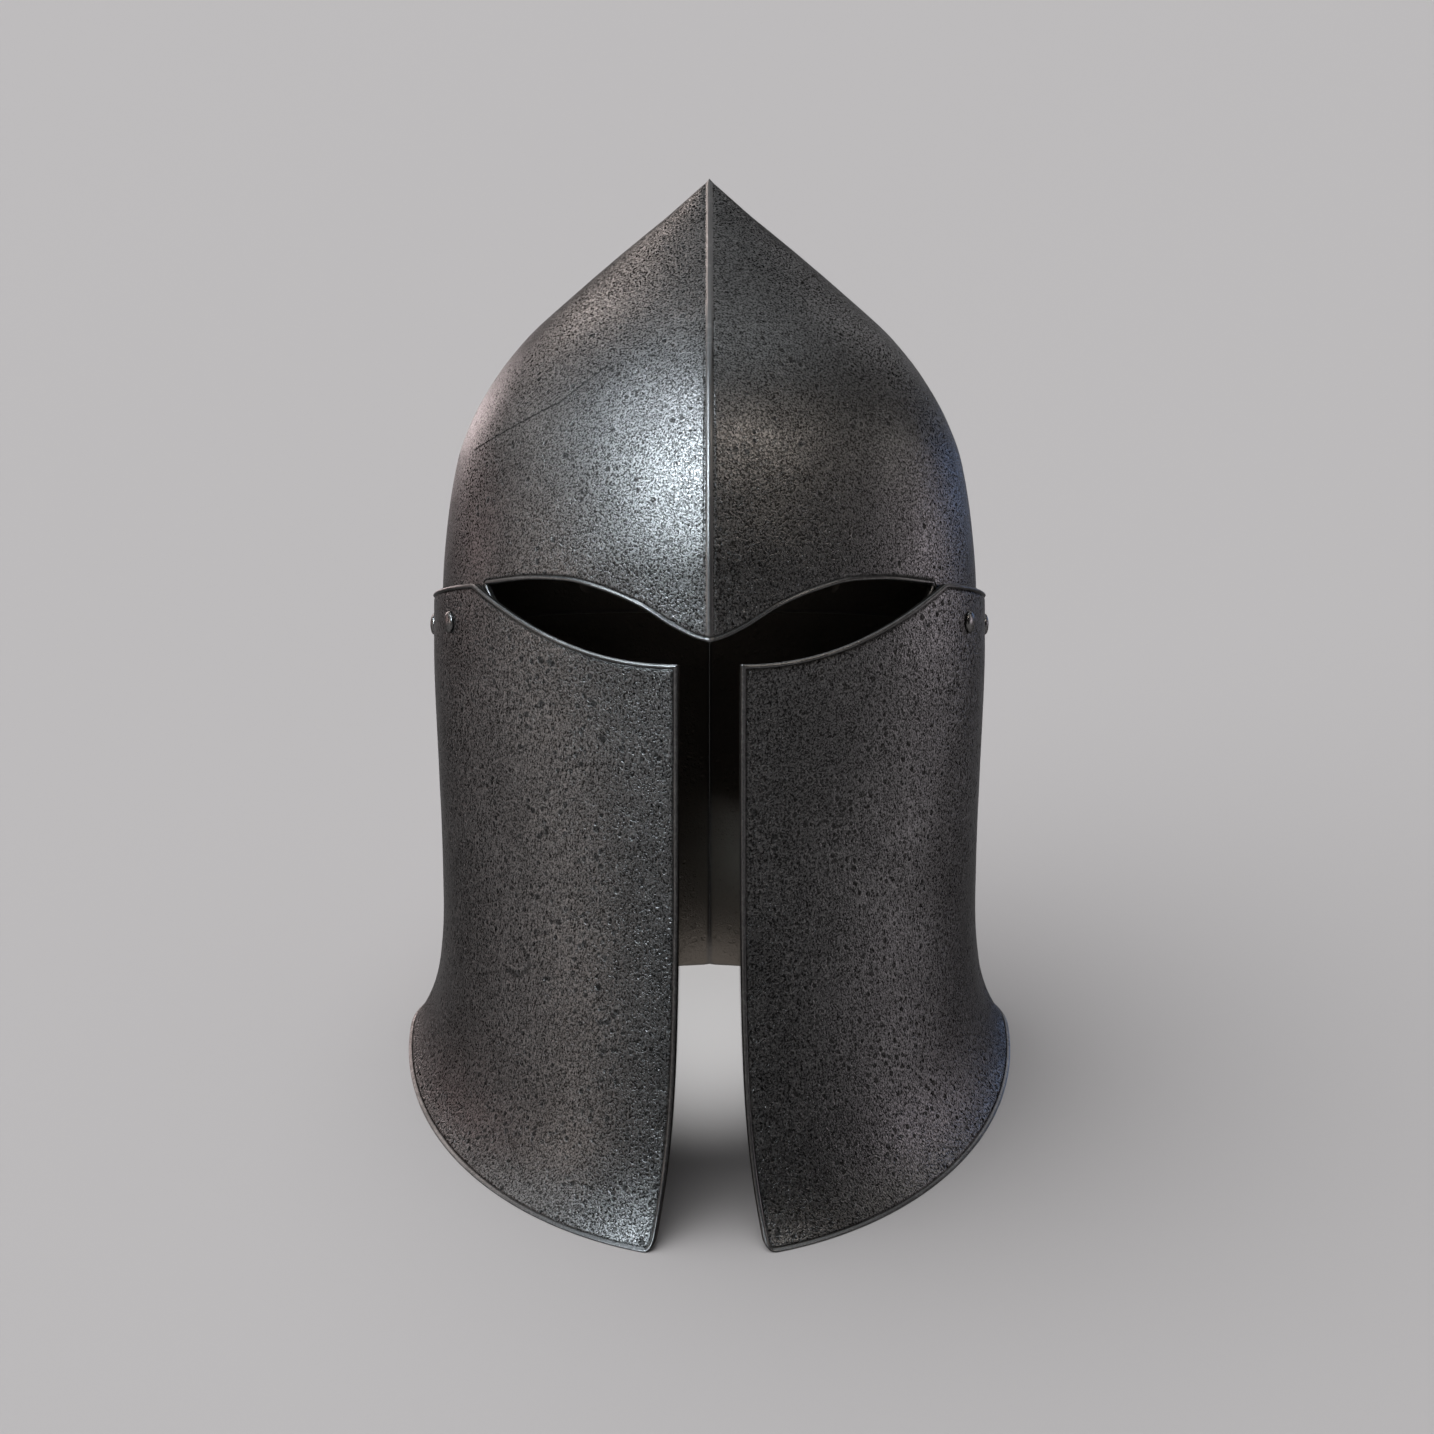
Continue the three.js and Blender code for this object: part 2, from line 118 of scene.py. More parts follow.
def maths(tree, operation, *values):
    return node(tree, "Math", dict(enumerate(values)), operation=operation).outputs[0]


def product(tree, *values):
    result = values[0]
    for value in values[1:]:
        result = maths(tree, "MULTIPLY", result, value)
    return result


def add_shares(tree, base, *masks_and_shares):
    """The base with a share of each mask on top."""
    for mask, share in masks_and_shares:
        base = maths(tree, "MULTIPLY_ADD", mask, share, base)
    return base


def dim(tree, value, mask, share):
    """The value, less that share of it where the mask is full."""
    return maths(tree, "MULTIPLY", value, maths(tree, "MULTIPLY_ADD", mask, -share, 1.0))


def ramp(tree, value, low, high, to_low=0.0, to_high=1.0):
    """A smooth step from to_low at low to to_high at high."""
    return node(tree, "MapRange", {0: value, 1: low, 2: high, 3: to_low, 4: to_high},
                interpolation_type="SMOOTHSTEP").outputs[0]


def noise(tree, place, size, detail=2.0, roughness=0.5, distortion=0.0):
    """Noise from 0 to 1 whose blobs are about that size."""
    return node(tree, "TexNoise", {"Vector": place, "Scale": 1 / size, "Detail": detail,
                                   "Roughness": roughness, "Distortion": distortion}).outputs[0]


def blend(tree, share, first, second):
    """The first colour, or the second where the share is full."""
    mix = node(tree, "Mix", {0: share}, data_type="RGBA")
    feed(tree, mix.inputs[6], first)
    feed(tree, mix.inputs[7], second)
    return mix.outputs[2]


# Round pits, one in some of the cells of a grid of uneven cells. Some have a risen middle.
pits, given, result = shader_group(
    "pits", {"Cell": 1.0, "Share": 0.5, "Radius": 0.3, "Rings": 0.0}, {"Pit": "Float", "Lip": "Float"})
place = node(pits, "TexCoord", {}).outputs["Object"]
wander_size, wander_reach = 1.6 * mm, 0.8 * mm
wander = node(pits, "TexNoise", {"Vector": place, "Scale": 1 / wander_size}).outputs["Color"]
wander = node(pits, "VectorMath", {0: wander, "Scale": wander_reach}, operation="SCALE").outputs[0]
uneven = node(pits, "VectorMath", {0: place, 1: wander}, operation="ADD").outputs[0]
cell = node(pits, "TexVoronoi", {"Vector": uneven, "Scale": maths(pits, "DIVIDE", 1.0, given["Cell"])})
draw = node(pits, "SeparateColor", {0: cell.outputs["Color"]}).outputs
present = maths(pits, "LESS_THAN", draw[0], given["Share"])
own_radius = maths(pits, "MULTIPLY", given["Radius"], maths(pits, "MULTIPLY_ADD", draw[1], 0.5, 0.65))
away = maths(pits, "DIVIDE", maths(pits, "MULTIPLY", cell.outputs["Distance"], given["Cell"]), own_radius)
middle_rise = 0.75
has_ring = maths(pits, "LESS_THAN", draw[2], given["Rings"])
middle = product(pits, has_ring, middle_rise, ramp(pits, away, 0.55, 0.2))
pit = maths(pits, "SUBTRACT", ramp(pits, away, 1.0, 0.5), middle)
feed(pits, result["Pit"], maths(pits, "MULTIPLY", present, pit))
lip = product(pits, present, ramp(pits, away, 0.8, 1.1), ramp(pits, away, 1.7, 1.15))
feed(pits, result["Lip"], lip)

# One mark, used for pits, scratches and knocks and for the dent's painted shade and highlight: a line from
# point to point, or a round spot where both are the same
mark, given, result = shader_group(
    "mark", {"Place": (0.0, 0.0, 0.0), "From": (0.0, 0.0, 0.0), "To": (0.0, 0.0, 0.0), "Width": 1.0},
    {"Mark": "Float"})
along = node(mark, "VectorMath", {0: given["To"], 1: given["From"]}, operation="SUBTRACT").outputs[0]
toward = node(mark, "VectorMath", {0: given["Place"], 1: given["From"]}, operation="SUBTRACT").outputs[0]
walked, size = (node(mark, "VectorMath", {0: first, 1: along}, operation="DOT_PRODUCT").outputs["Value"]
                for first in (toward, along))
never_zero = 1e-9
share = node(mark, "Math", {0: walked, 1: maths(mark, "ADD", size, never_zero)}, operation="DIVIDE",
             use_clamp=True).outputs[0]
nearest = node(mark, "VectorMath", {0: along, "Scale": share}, operation="SCALE").outputs[0]
gap = node(mark, "VectorMath", {0: toward, 1: nearest}, operation="DISTANCE").outputs["Value"]
feed(mark, result["Mark"], ramp(mark, maths(mark, "DIVIDE", gap, given["Width"]), 1.0, 0.35))

# The whole worn steel, as colour, roughness and normal
worn_steel, given, result = shader_group(
    "worn_steel",
    {"Light": (0.2, 0.2, 0.2, 1), "Dark": (0.03, 0.03, 0.03, 1), "Hollow": (0.02, 0.02, 0.02, 1),
     "Polish": 0.0},
    {"Colour": "Color", "Roughness": "Float", "Normal": "Vector"})
tree = worn_steel
place = node(tree, "TexCoord", {}).outputs["Object"]
edge, hollow, rubbed = (node(tree, "Attribute", {}, attribute_name=name).outputs["Fac"]
                        for name in ("edge_distance", "hollow_side", "rubbed"))
broad_size, cluster_size, patch_size, grain_size = 42 * mm, 17 * mm, 21 * mm, 0.72 * mm
even_grain = 0.55
broad = noise(tree, place, broad_size, 3.0, 0.5)
clusters = noise(tree, place, cluster_size, 2.0, 0.5, 0.3)
off_border = ramp(tree, edge, 1.4 * mm, 2.1 * mm)
worn_patch = ramp(tree, noise(tree, place, patch_size, 2.0, 0.5, 0.5), 0.57, 0.68)
unworn = dim(tree, 1.0, worn_patch, 0.7)
unrubbed = maths(tree, "SUBTRACT", 1.0, maths(tree, "MAXIMUM", rubbed, given["Polish"]))
unrubbed = maths(tree, "MULTIPLY", unrubbed, maths(tree, "MULTIPLY_ADD", off_border, 0.8, 0.2))
grain = ramp(tree, noise(tree, place, grain_size, 1.0, 0.6, 0.4), 0.34, 0.64)
grain = maths(tree, "MULTIPLY_ADD", maths(tree, "SUBTRACT", grain, even_grain), unrubbed, even_grain)

# Marks as seen from the front, in mm: out and up of one end, out and up of the other, half width,
# strength. Above zero they are dark, below zero bright.
marks = [
    # a dent shaped like an arrowhead on the right cheek plate, drawn only in colour: painted shade along
    # its dark side and a painted highlight on its lit slopes
    (-73.0, 107.5, -69.0, 104.0, 0.9, 0.45), (-69.0, 104.0, -66.3, 100.0, 1.1, 0.6),
    (-66.3, 100.0, -66.0, 96.4, 1.0, 0.55), (-66.0, 96.4, -70.0, 93.2, 1.2, 0.5),
    (-70.0, 93.2, -74.5, 95.0, 1.4, 0.7), (-74.5, 95.0, -86.5, 91.8, 0.8, 0.55),
    (-86.0, 93.0, -84.4, 104.5, 0.8, -0.25), (-72.5, 104.5, -68.6, 98.6, 1.3, -0.45),
    # a long scratch on the dome
    (-88.2, 288.8, -54.8, 303.9, 0.45, 0.8), (-54.8, 303.9, -37.5, 316.8, 0.45, 0.8),
    (-88.0, 290.2, -55.2, 305.2, 0.45, -0.4), (-55.2, 305.2, -38.4, 317.8, 0.45, -0.4),
    # the largest pits
    (-60.8, 208.6, -60.8, 208.6, 1.4, 0.8), (-58.0, 208.4, -58.0, 208.4, 1.2, 0.8),
    (-38.3, 180.4, -38.3, 180.4, 1.8, 0.9), (-46.3, 171.5, -46.3, 171.5, 1.5, 0.9),
    (-39.0, 78.5, -39.0, 78.5, 1.6, 0.8), (-38.3, 68.3, -38.3, 68.3, 1.6, 0.8),
    (-34.7, 81.3, -34.7, 81.3, 1.3, 0.8), (-44.6, 87.9, -44.6, 87.9, 1.2, 0.8),
    (16.3, 154.4, 16.3, 154.4, 1.8, 0.9), (19.2, 150.8, 19.2, 150.8, 1.6, 0.9),
    (23.2, 145.4, 23.2, 145.4, 1.7, 0.9), (33.2, 141.2, 33.2, 141.2, 1.3, 0.8),
    (37.1, 121.4, 37.1, 121.4, 1.2, 0.7), (-52.2, 283.6, -52.2, 283.6, 1.7, 0.8),
    (-34.9, 292.1, -34.9, 292.1, 1.4, 0.7), (-35.8, 315.5, -35.8, 315.5, 1.4, 0.7),
    # knocks on the rims and beside the slot
    (-14.1, 95.5, -11.9, 95.5, 0.7, -1.0), (11.2, 91.1, 11.4, 87.5, 0.6, -0.8),
    (11.6, 69.0, 11.8, 66.2, 0.7, -1.0), (-15.5, 56.5, -14.1, 55.2, 0.7, -1.0),
    (-16.9, 50.5, -14.4, 52.0, 0.7, -1.0), (-100.8, 32.2, -97.1, 27.1, 0.7, -0.9),
    (-95.8, 26.6, -92.3, 23.3, 0.7, -0.8), (-81.3, 16.3, -76.6, 14.5, 0.7, -0.9),
    (56.8, 7.8, 61.3, 9.7, 0.7, -0.8),
]
upright = node(tree, "Mapping", {"Vector": place, "Location": to_frame.inverted().translation,
                                 "Rotation": (lean, 0, 0)}).outputs[0]
wave_size, wave_reach = 1.3 * mm, 1.1 * mm
wavy = node(tree, "TexNoise", {"Vector": place, "Scale": 1 / wave_size, "Detail": 1.0}).outputs["Color"]
wavy = node(tree, "VectorMath", {0: wavy, 1: (0.5, 0.5, 0.5)}, operation="SUBTRACT").outputs[0]
wavy = node(tree, "VectorMath", {0: wavy, "Scale": wave_reach}, operation="SCALE").outputs[0]
from_front = node(tree, "VectorMath", {0: upright, 1: wavy}, operation="ADD").outputs[0]
from_front = node(tree, "VectorMath", {0: from_front, 1: (1, 0, 1)}, operation="MULTIPLY").outputs[0]
ahead = ramp(tree, node(tree, "SeparateXYZ", {0: upright}).outputs[1], 0.0, -10 * mm)
below_eyes = ramp(tree, node(tree, "SeparateXYZ", {0: upright}).outputs[2], 245 * mm, 225 * mm, 0.25, 1.0)
sunk_and_painted_shade, knocks_and_painted_highlight = 0.0, 0.0
for out_1, up_1, out_2, up_2, width, strength in marks:
    spot = tree.nodes.new("ShaderNodeGroup")
    spot.node_tree = mark
    for label, value in (("Place", from_front), ("From", (out_1 * mm, 0, up_1 * mm)),
                         ("To", (out_2 * mm, 0, up_2 * mm)), ("Width", width * mm)):
        feed(tree, spot.inputs[label], value)
    # Dark marks gather here, the dent's painted shade among them; bright marks gather with the dent's
    # painted highlight.
    if strength > 0:
        sunk_and_painted_shade = maths(tree, "MAXIMUM", sunk_and_painted_shade, maths(tree, "MULTIPLY", spot.outputs[0], strength))
    else:
        knocks_and_painted_highlight = maths(tree, "MAXIMUM", knocks_and_painted_highlight, maths(tree, "MULTIPLY", spot.outputs[0], -strength))
sunk_and_painted_shade, knocks_and_painted_highlight = (maths(tree, "MULTIPLY", value, ahead) for value in (sunk_and_painted_shade, knocks_and_painted_highlight))


def pit_layer(cell, share, radius, rings):
    """Pits in a share of the cells of that size, and rings in a share of the pits."""
    layer = tree.nodes.new("ShaderNodeGroup")
    layer.node_tree = pits
    for label, value in (("Cell", cell), ("Share", share), ("Radius", radius), ("Rings", rings)):
        feed(tree, layer.inputs[label], value)
    return layer.outputs


cluster_share = maths(tree, "MULTIPLY", below_eyes, ramp(tree, clusters, 0.44, 0.56, 0.12, 1.0))
specks = pit_layer(0.95 * mm, maths(tree, "MULTIPLY", unworn, 0.75), 0.44 * mm, rings=0.0)
small_pits = pit_layer(3.3 * mm, cluster_share, 1.3 * mm, rings=0.35)
deep_pits = pit_layer(21 * mm, maths(tree, "MULTIPLY", below_eyes, 0.3), 1.3 * mm, rings=0.0)
pit = maths(tree, "MAXIMUM", maths(tree, "MULTIPLY", specks["Pit"], 0.62),
            maths(tree, "MAXIMUM", maths(tree, "MULTIPLY", small_pits["Pit"], 0.78), deep_pits["Pit"]))
# The dark marks, the dent's painted shade among them, join the pits here.
pit = maths(tree, "MAXIMUM", maths(tree, "MULTIPLY", pit, unrubbed), sunk_and_painted_shade)


def lines(turn, shift, size, stretch, low, high):
    """Thin lines that run one way over the steel."""
    turned = node(tree, "Mapping", {"Vector": place, "Location": (shift, shift, shift),
                                    "Rotation": turn, "Scale": (1, 1, stretch)}).outputs[0]
    return ramp(tree, noise(tree, turned, size, 1.0, 0.4), low, high)


line_size = 0.6 * mm
hatch = maths(tree, "SUBTRACT", lines((0.3, 0.55, 0.0), 0.2, line_size, 0.16, 0.38, 0.62), 0.5)
hatch = product(tree, hatch, ramp(tree, broad, 0.42, 0.55), below_eyes, unrubbed)
scratch = maths(tree, "MAXIMUM", lines((0.4, 0.9, 0.2), 0.3, line_size, 0.02, 0.70, 0.75),
                lines((0.1, -0.6, 0.5), 0.7, line_size, 0.015, 0.71, 0.76))
scratch = product(tree, scratch, unrubbed, ramp(tree, noise(tree, place, 28 * mm), 0.5, 0.6))

# Tone: mottling and grain, light lips and scratches, dark pits and marks with the dent's painted shade,
# bright edges and knocks with the dent's painted highlight, painted shade in the groove beside each border
edge_wear_and_painted_highlight = maths(tree, "MULTIPLY", ramp(tree, edge, 1.4 * mm, 0.6 * mm),
                  ramp(tree, noise(tree, place, 9 * mm, 2.0, 0.5), 0.4, 0.6, 0.3, 1.0))
edge_wear_and_painted_highlight = maths(tree, "MAXIMUM", maths(tree, "MULTIPLY", edge_wear_and_painted_highlight, 0.35), rubbed)
# Bright marks, the dent's painted highlight among them, join the bright worn edges here.
edge_wear_and_painted_highlight = maths(tree, "MAXIMUM", edge_wear_and_painted_highlight, knocks_and_painted_highlight)
# Painted shade: the colour is darkened in the groove beside each border bead.
groove = maths(tree, "MULTIPLY", ramp(tree, edge, 1.3 * mm, 1.7 * mm), ramp(tree, edge, 2.7 * mm, 1.9 * mm))
tone = add_shares(tree, 0.04, (grain, 0.66), (ramp(tree, broad, 0.3, 0.7), 0.08), (hatch, 0.34),
                  (scratch, 0.3), (small_pits["Lip"], 0.15), (edge_wear_and_painted_highlight, 0.16))
tone = dim(tree, dim(tree, tone, pit, 0.9), groove, 0.7)
colour = blend(tree, tone, given["Dark"], given["Light"])
unlit = dim(tree, hollow, ramp(tree, edge, 1.8 * mm, 0.8 * mm), 0.5)
feed(tree, result["Colour"], blend(tree, unlit, colour, given["Hollow"]))

hollow_roughness = 0.55
rough = add_shares(tree, 0.29, (pit, 0.25), (grain, 0.10), (edge_wear_and_painted_highlight, 0.06), (given["Polish"], -0.15))
feed(tree, result["Roughness"], maths(tree, "MAXIMUM", rough, maths(
    tree, "MULTIPLY", hollow, hollow_roughness)))

# Relief: pits sunk, grain and lips raised, all but gone where the steel is rubbed
level = add_shares(
    tree, 0.0, (specks["Pit"], -0.08 * mm), (grain, 0.06 * mm), (small_pits["Pit"], -0.14 * mm),
    (small_pits["Lip"], 0.03 * mm), (deep_pits["Pit"], -0.3 * mm), (hatch, 0.02 * mm))
level = maths(tree, "MULTIPLY", level, maths(tree, "MULTIPLY_ADD", unrubbed, 0.95, 0.05))
bump = node(tree, "Bump", {"Strength": 1.0, "Distance": 1.0, "Height": level})
feed(tree, result["Normal"], bump.outputs[0])


def steel_material(name, light_tone, dark_tone, hollow_tone, polish):
    """Worn steel between two tones. polish runs from 0, as forged, to 1, rubbed bright."""
    material = bpy.data.materials.new(name)
    material.use_nodes = True
    shader = material.node_tree.nodes["Principled BSDF"]
    shader.inputs["Metallic"].default_value = 1.0
    shader.inputs["Specular Tint"].default_value = (0.25, 0.25, 0.25, 1)
    worn = material.node_tree.nodes.new("ShaderNodeGroup")
    worn.node_tree = worn_steel
    for label, value in (("Light", light_tone), ("Dark", dark_tone), ("Hollow", hollow_tone)):
        worn.inputs[label].default_value = (*value, 1)
    worn.inputs["Polish"].default_value = polish
    for label, target in (("Colour", "Base Color"), ("Roughness", "Roughness"), ("Normal", "Normal")):
        material.node_tree.links.new(worn.outputs[label], shader.inputs[target])
    return material


pitted_steel = steel_material("pitted_steel", (0.25, 0.246, 0.243), (0.018, 0.0175, 0.017),
                              (0.19, 0.168, 0.145), polish=0)


# The skull. One sheet of steel hammered to a point, with a raised bead down its middle crease.
# Its brow is cut as two arches round a point between the eyes. Below the eye corners it runs
# on down behind the cheek plates, which are riveted over it.
skull_half_width = 103.3 * mm
forehead_reach = 122.5 * mm
nape_reach = 118.5 * mm
neck_set_back = 51 * mm
forehead_crease = math.radians(19)
nape_crease = math.radians(7)
forehead_fullness = 1.08
nape_fullness = 1.25
side_share = 0.55
skull_wall = 2.0 * mm

# Lower sections: up is a share of helmet_height, half of skull_half_width, front of
# forehead_reach, rear of nape_reach, back of neck_set_back, crease of forehead_crease, face and
# nape of the two fullnesses.
section_columns = ("up", "half", "front", "rear", "back", "crease", "face", "nape")
neck_sections = [
    (0.000, 0.980, 0.955, 0.770, 1.00, 0.37, 0.69, 1.35),
    (0.150, 0.980, 0.948, 0.770, 0.98, 0.45, 0.73, 1.35),
    (0.276, 0.981, 0.944, 0.776, 0.85, 0.70, 0.82, 1.25),
    (0.377, 0.988, 0.958, 0.832, 0.60, 0.90, 0.93, 1.12),
    (0.477, 0.999, 0.981, 0.925, 0.36, 1.00, 1.00, 1.03),
    (0.540, 1.004, 0.996, 0.973, 0.24, 1.00, 1.00, 1.00),
    (0.603, 1.000, 1.000, 1.000, 0.18, 1.00, 1.00, 1.00),
]
# Upper sections: up is a share of helmet_height, reach a share of the sizes at the temples.
dome_columns = ("up", "reach")
dome_sections = [
    (0.665, 0.982), (0.723, 0.944), (0.762, 0.889), (0.801, 0.806), (0.840, 0.689),
    (0.879, 0.532), (0.918, 0.362), (0.943, 0.249), (0.961, 0.166), (1.000, 0.000),
]
# Edge of the brow: out is a share of eye_corner_out, rise of brow_rise.
brow_columns = ("out", "rise")
brow_edge = [
    (0.00, 0.000), (0.06, 0.060), (0.15, 0.210), (0.31, 0.560), (0.46, 0.790), (0.64, 0.965),
    (0.80, 1.000), (1.00, 0.954),
]


def table(rows, columns):
    """Rows of numbers as one array for each named column."""
    return {name: np.array(values, float) for name, values in zip(columns, zip(*rows))}


def curve_through(x, y):
    """A smooth curve through points that never swings past them."""
    slope = np.diff(y) / np.diff(x)
    before, after = slope[:-1], slope[1:]
    turns = before * after <= 0
    inner = np.where(turns, 0, 2 * before * after / np.where(turns, 1, before + after))
    tangent = np.concatenate([slope[:1], inner, slope[-1:]])

    def at(value):
        value = np.clip(value, x[0], x[-1])
        i = np.clip(np.searchsorted(x, value, side="left") - 1, 0, len(x) - 2)
        width = x[i + 1] - x[i]
        t = (value - x[i]) / width
        return (y[i] * (2 * t**3 - 3 * t**2 + 1) + tangent[i] * width * (t**3 - 2 * t**2 + t)
                + y[i + 1] * (3 * t**2 - 2 * t**3) + tangent[i + 1] * width * (t**3 - t**2))

    return at


def smooth_share(value, low, high):
    share = np.clip((value - low) / (high - low), 0, 1)
    return share * share * (3 - 2 * share)


neck, dome, brow = table(neck_sections, section_columns), table(dome_sections, dome_columns), (
    table(brow_edge, brow_columns))
heights = np.concatenate([neck["up"], dome["up"]]) * helmet_height
reach = dome["reach"]
half_at = curve_through(heights, np.concatenate([neck["half"], reach]) * skull_half_width)
front_at = curve_through(heights, np.concatenate([
    neck["front"] * forehead_reach, reach * (forehead_reach + apex_set_back) - apex_set_back]))
rear_at = curve_through(heights, np.concatenate([
    neck["rear"] * nape_reach, reach * (nape_reach - apex_set_back) + apex_set_back]))
temple_back = neck["back"][-1] * neck_set_back
back_at = curve_through(heights, np.concatenate([
    neck["back"] * neck_set_back, apex_set_back + (temple_back - apex_set_back) * reach]))
ones = np.ones_like(reach)
crease_at = curve_through(heights, np.concatenate([neck["crease"], ones]) * forehead_crease)
face_at = curve_through(heights, np.concatenate([neck["face"], ones]) * forehead_fullness)
nape_at = curve_through(heights, np.concatenate([neck["nape"], ones]) * nape_fullness)


def section_point(height, share):
    """Point of a level section on the wearer's left: share 0 is the face, 1 the nape."""
    half, front, rear, back = half_at(height), front_at(height), rear_at(height), back_at(height)
    ahead = share < side_share
    t = np.where(ahead, share / side_share, (share - side_share) / (1 - side_share))
    zero = np.zeros_like(half + share)
    start_x, start_y = np.where(ahead, zero, half), np.where(ahead, -front, back)
    end_x, end_y = np.where(ahead, half, zero), np.where(ahead, back, rear)
    corner_y = np.where(ahead, half * np.tan(crease_at(height)) - front,
                        rear - half * math.tan(nape_crease))
    fullness = np.where(ahead, face_at(height), nape_at(height))
    a, b, c = (1 - t) ** 2, 2 * fullness * t * (1 - t), t * t
    total = a + b + c
    return ((a * start_x + b * half + c * end_x) / total,
            (a * start_y + b * corner_y + c * end_y) / total)


def section_normal(height, share):
    """Which way is out from a level section."""
    step = 1e-4
    x0, y0 = section_point(height, np.maximum(share - step, 0))
    x1, y1 = section_point(height, np.minimum(share + step, 1))
    length = np.hypot(x1 - x0, y1 - y0)
    length = np.where(length == 0, 1, length)
    return (y1 - y0) / length, (x0 - x1) / length


crease_ease = 4 * mm  # how near a crease the hollow skin turns to meet its other half


def skull_skin(height, share, distance):
    """Skin of the skull, a distance outside its section, or inside where that is below zero."""
    level = np.minimum(height, helmet_height - 0.02 * mm)
    x, y = section_point(level, share)
    nx, ny = section_normal(level, share)
    step = 0.02 * mm
    x1, y1 = section_point(level + step, share)
    x0, y0 = section_point(level - step, share)
    growth = ((x1 - x0) * nx + (y1 - y0) * ny) / (2 * step)
    length = np.hypot(1, growth)
    across = np.where(distance < 0, nx * smooth_share(x, 0, crease_ease), nx)
    across = np.where((share == 0) | (share == 1), 0, across)
    out = distance * length / (across * across + ny * ny + growth * growth)
    px, py, pz = x + out * across, y + out * ny, level - out * growth
    flank = float(half_at(helmet_height - 1 * mm)) / (1 * mm)
    at_apex = height >= helmet_height
    px, py = np.where(at_apex, 0, px), np.where(at_apex, apex_set_back, py)
    pz = np.where(at_apex, helmet_height + distance * math.hypot(1, flank) / flank, pz)
    return np.stack([px, py, pz], -1)


def share_at_out(out, skin):
    """Share of the section, ahead of the widest place, at which a skin is that far out."""
    low, high = np.zeros_like(out), np.full_like(out, side_share)
    halvings = 26
    for _ in range(halvings):
        middle = (low + high) / 2
        inside = skin(middle)[..., 0] < out
        low, high = np.where(inside, middle, low), np.where(inside, high, middle)
    return (low + high) / 2


eye_corner_out = 82.4 * mm
eye_corner_height = 237.3 * mm
nasal_tip_height = 214.7 * mm
brow_rise = 23.7 * mm
slot_half_width = 10.8 * mm
slot_top_spread = 0.7 * mm
slot_top_height = 207 * mm
cheek_corner_out = 87.8 * mm
cheek_corner_rise = 30.8 * mm
cheek_curve = 2.1
lid_strip = 4.9 * mm
tongue_end_out = 61 * mm
lap_height = 224 * mm
lap_half_height = 12 * mm
lap_rear_rise = 20 * mm
brow_share = curve_through(brow["out"], brow["rise"])
slot_top_half = slot_half_width + slot_top_spread


def brow_height(out):
    """Height of the brow's edge over the eyes, that far out from the crease."""
    return nasal_tip_height + brow_rise * brow_share(out / eye_corner_out)


def lid_out(height):
    """How far out the skull's edge runs below the eye corner, beside the cheek plate's edge."""
    rise = np.maximum(height - slot_top_height, 0) / cheek_corner_rise
    edge = slot_top_half + (cheek_corner_out - slot_top_half) * np.minimum(rise, 1) ** (1 / cheek_curve)
    return np.maximum(edge - lid_strip * np.clip((rise - 0.78) / 0.22, -0.25, 1), tongue_end_out)


def lap_middle(y):
    """Middle height of the band where the plates lie over the skull."""
    return lap_height + lap_rear_rise * smooth_share(y, 0, nape_reach)


# Steps away from an edge, fine where its bead is, then ever wider
bead_steps = np.array([0, 0.2, 0.45, 0.7, 0.95, 1.2, 1.45, 1.7, 2.0, 2.4, 3.0, 4.0, 5.4]) * mm
broad_step = 2.1 * mm


def shares_at(lengths, height):
    """Shares of a level section at lengths walked from the face."""
    share = np.linspace(0, 1, 4001)
    x, y = section_point(np.full_like(share, height), share)
    walked = np.concatenate([[0], np.cumsum(np.hypot(np.diff(x), np.diff(y)))])
    return np.interp(lengths, walked, share), walked[-1]


def walked_to(share, height):
    """Length of a level section from the face to a share of it."""
    steps = np.linspace(0, share, 2001)
    x, y = section_point(np.full_like(steps, height), steps)
    return np.hypot(np.diff(x), np.diff(y)).sum()


def steps_between(start, end, step):
    """Even steps from start to end, without the end."""
    return np.linspace(start, end, max(2, round((end - start) / step)), endpoint=False)


def distance_to_line(points, line):
    """Least distance from each point to a line of points."""
    least = np.full(len(points), 1.0)
    for a, b in zip(line[:-1], line[1:]):
        close = np.abs(points - a).max(1) < 12 * mm
        along = b - a
        size = along @ along
        if size == 0 or not close.any():
            continue
        p = points[close] - a
        t = np.clip(p @ along / size, 0, 1)
        least[close] = np.minimum(least[close], np.linalg.norm(p - t[:, None] * along, axis=1))
    return least


# Profile of the raised border that runs along every cut edge, and of the bead on the crease
border = table([
    (0.00, -0.30), (0.18, 0.06), (0.40, 0.26), (0.75, 0.38), (1.10, 0.27), (1.40, 0.00),
    (1.65, -0.20), (1.95, -0.16), (2.40, 0.00), (3.00, 0.00),
], ("from_edge", "relief"))
border_relief = curve_through(border["from_edge"] * mm, border["relief"] * mm)
crease_bead_half, crease_bead_height, crease_groove = 1.25 * mm, 0.25 * mm, 0.22 * mm


def crease_relief(out):
    """Relief of the bead on the crease and of the groove beside it."""
    t = np.abs(out) / crease_bead_half
    fall = crease_bead_half * math.tan(forehead_crease)
    bead = crease_bead_height - (crease_bead_height + fall) * t**2 + fall * t
    groove = -crease_groove * np.sin(np.pi * np.clip((t - 1) / 0.7, 0, 1))
    return np.where(t < 1, bead, groove)


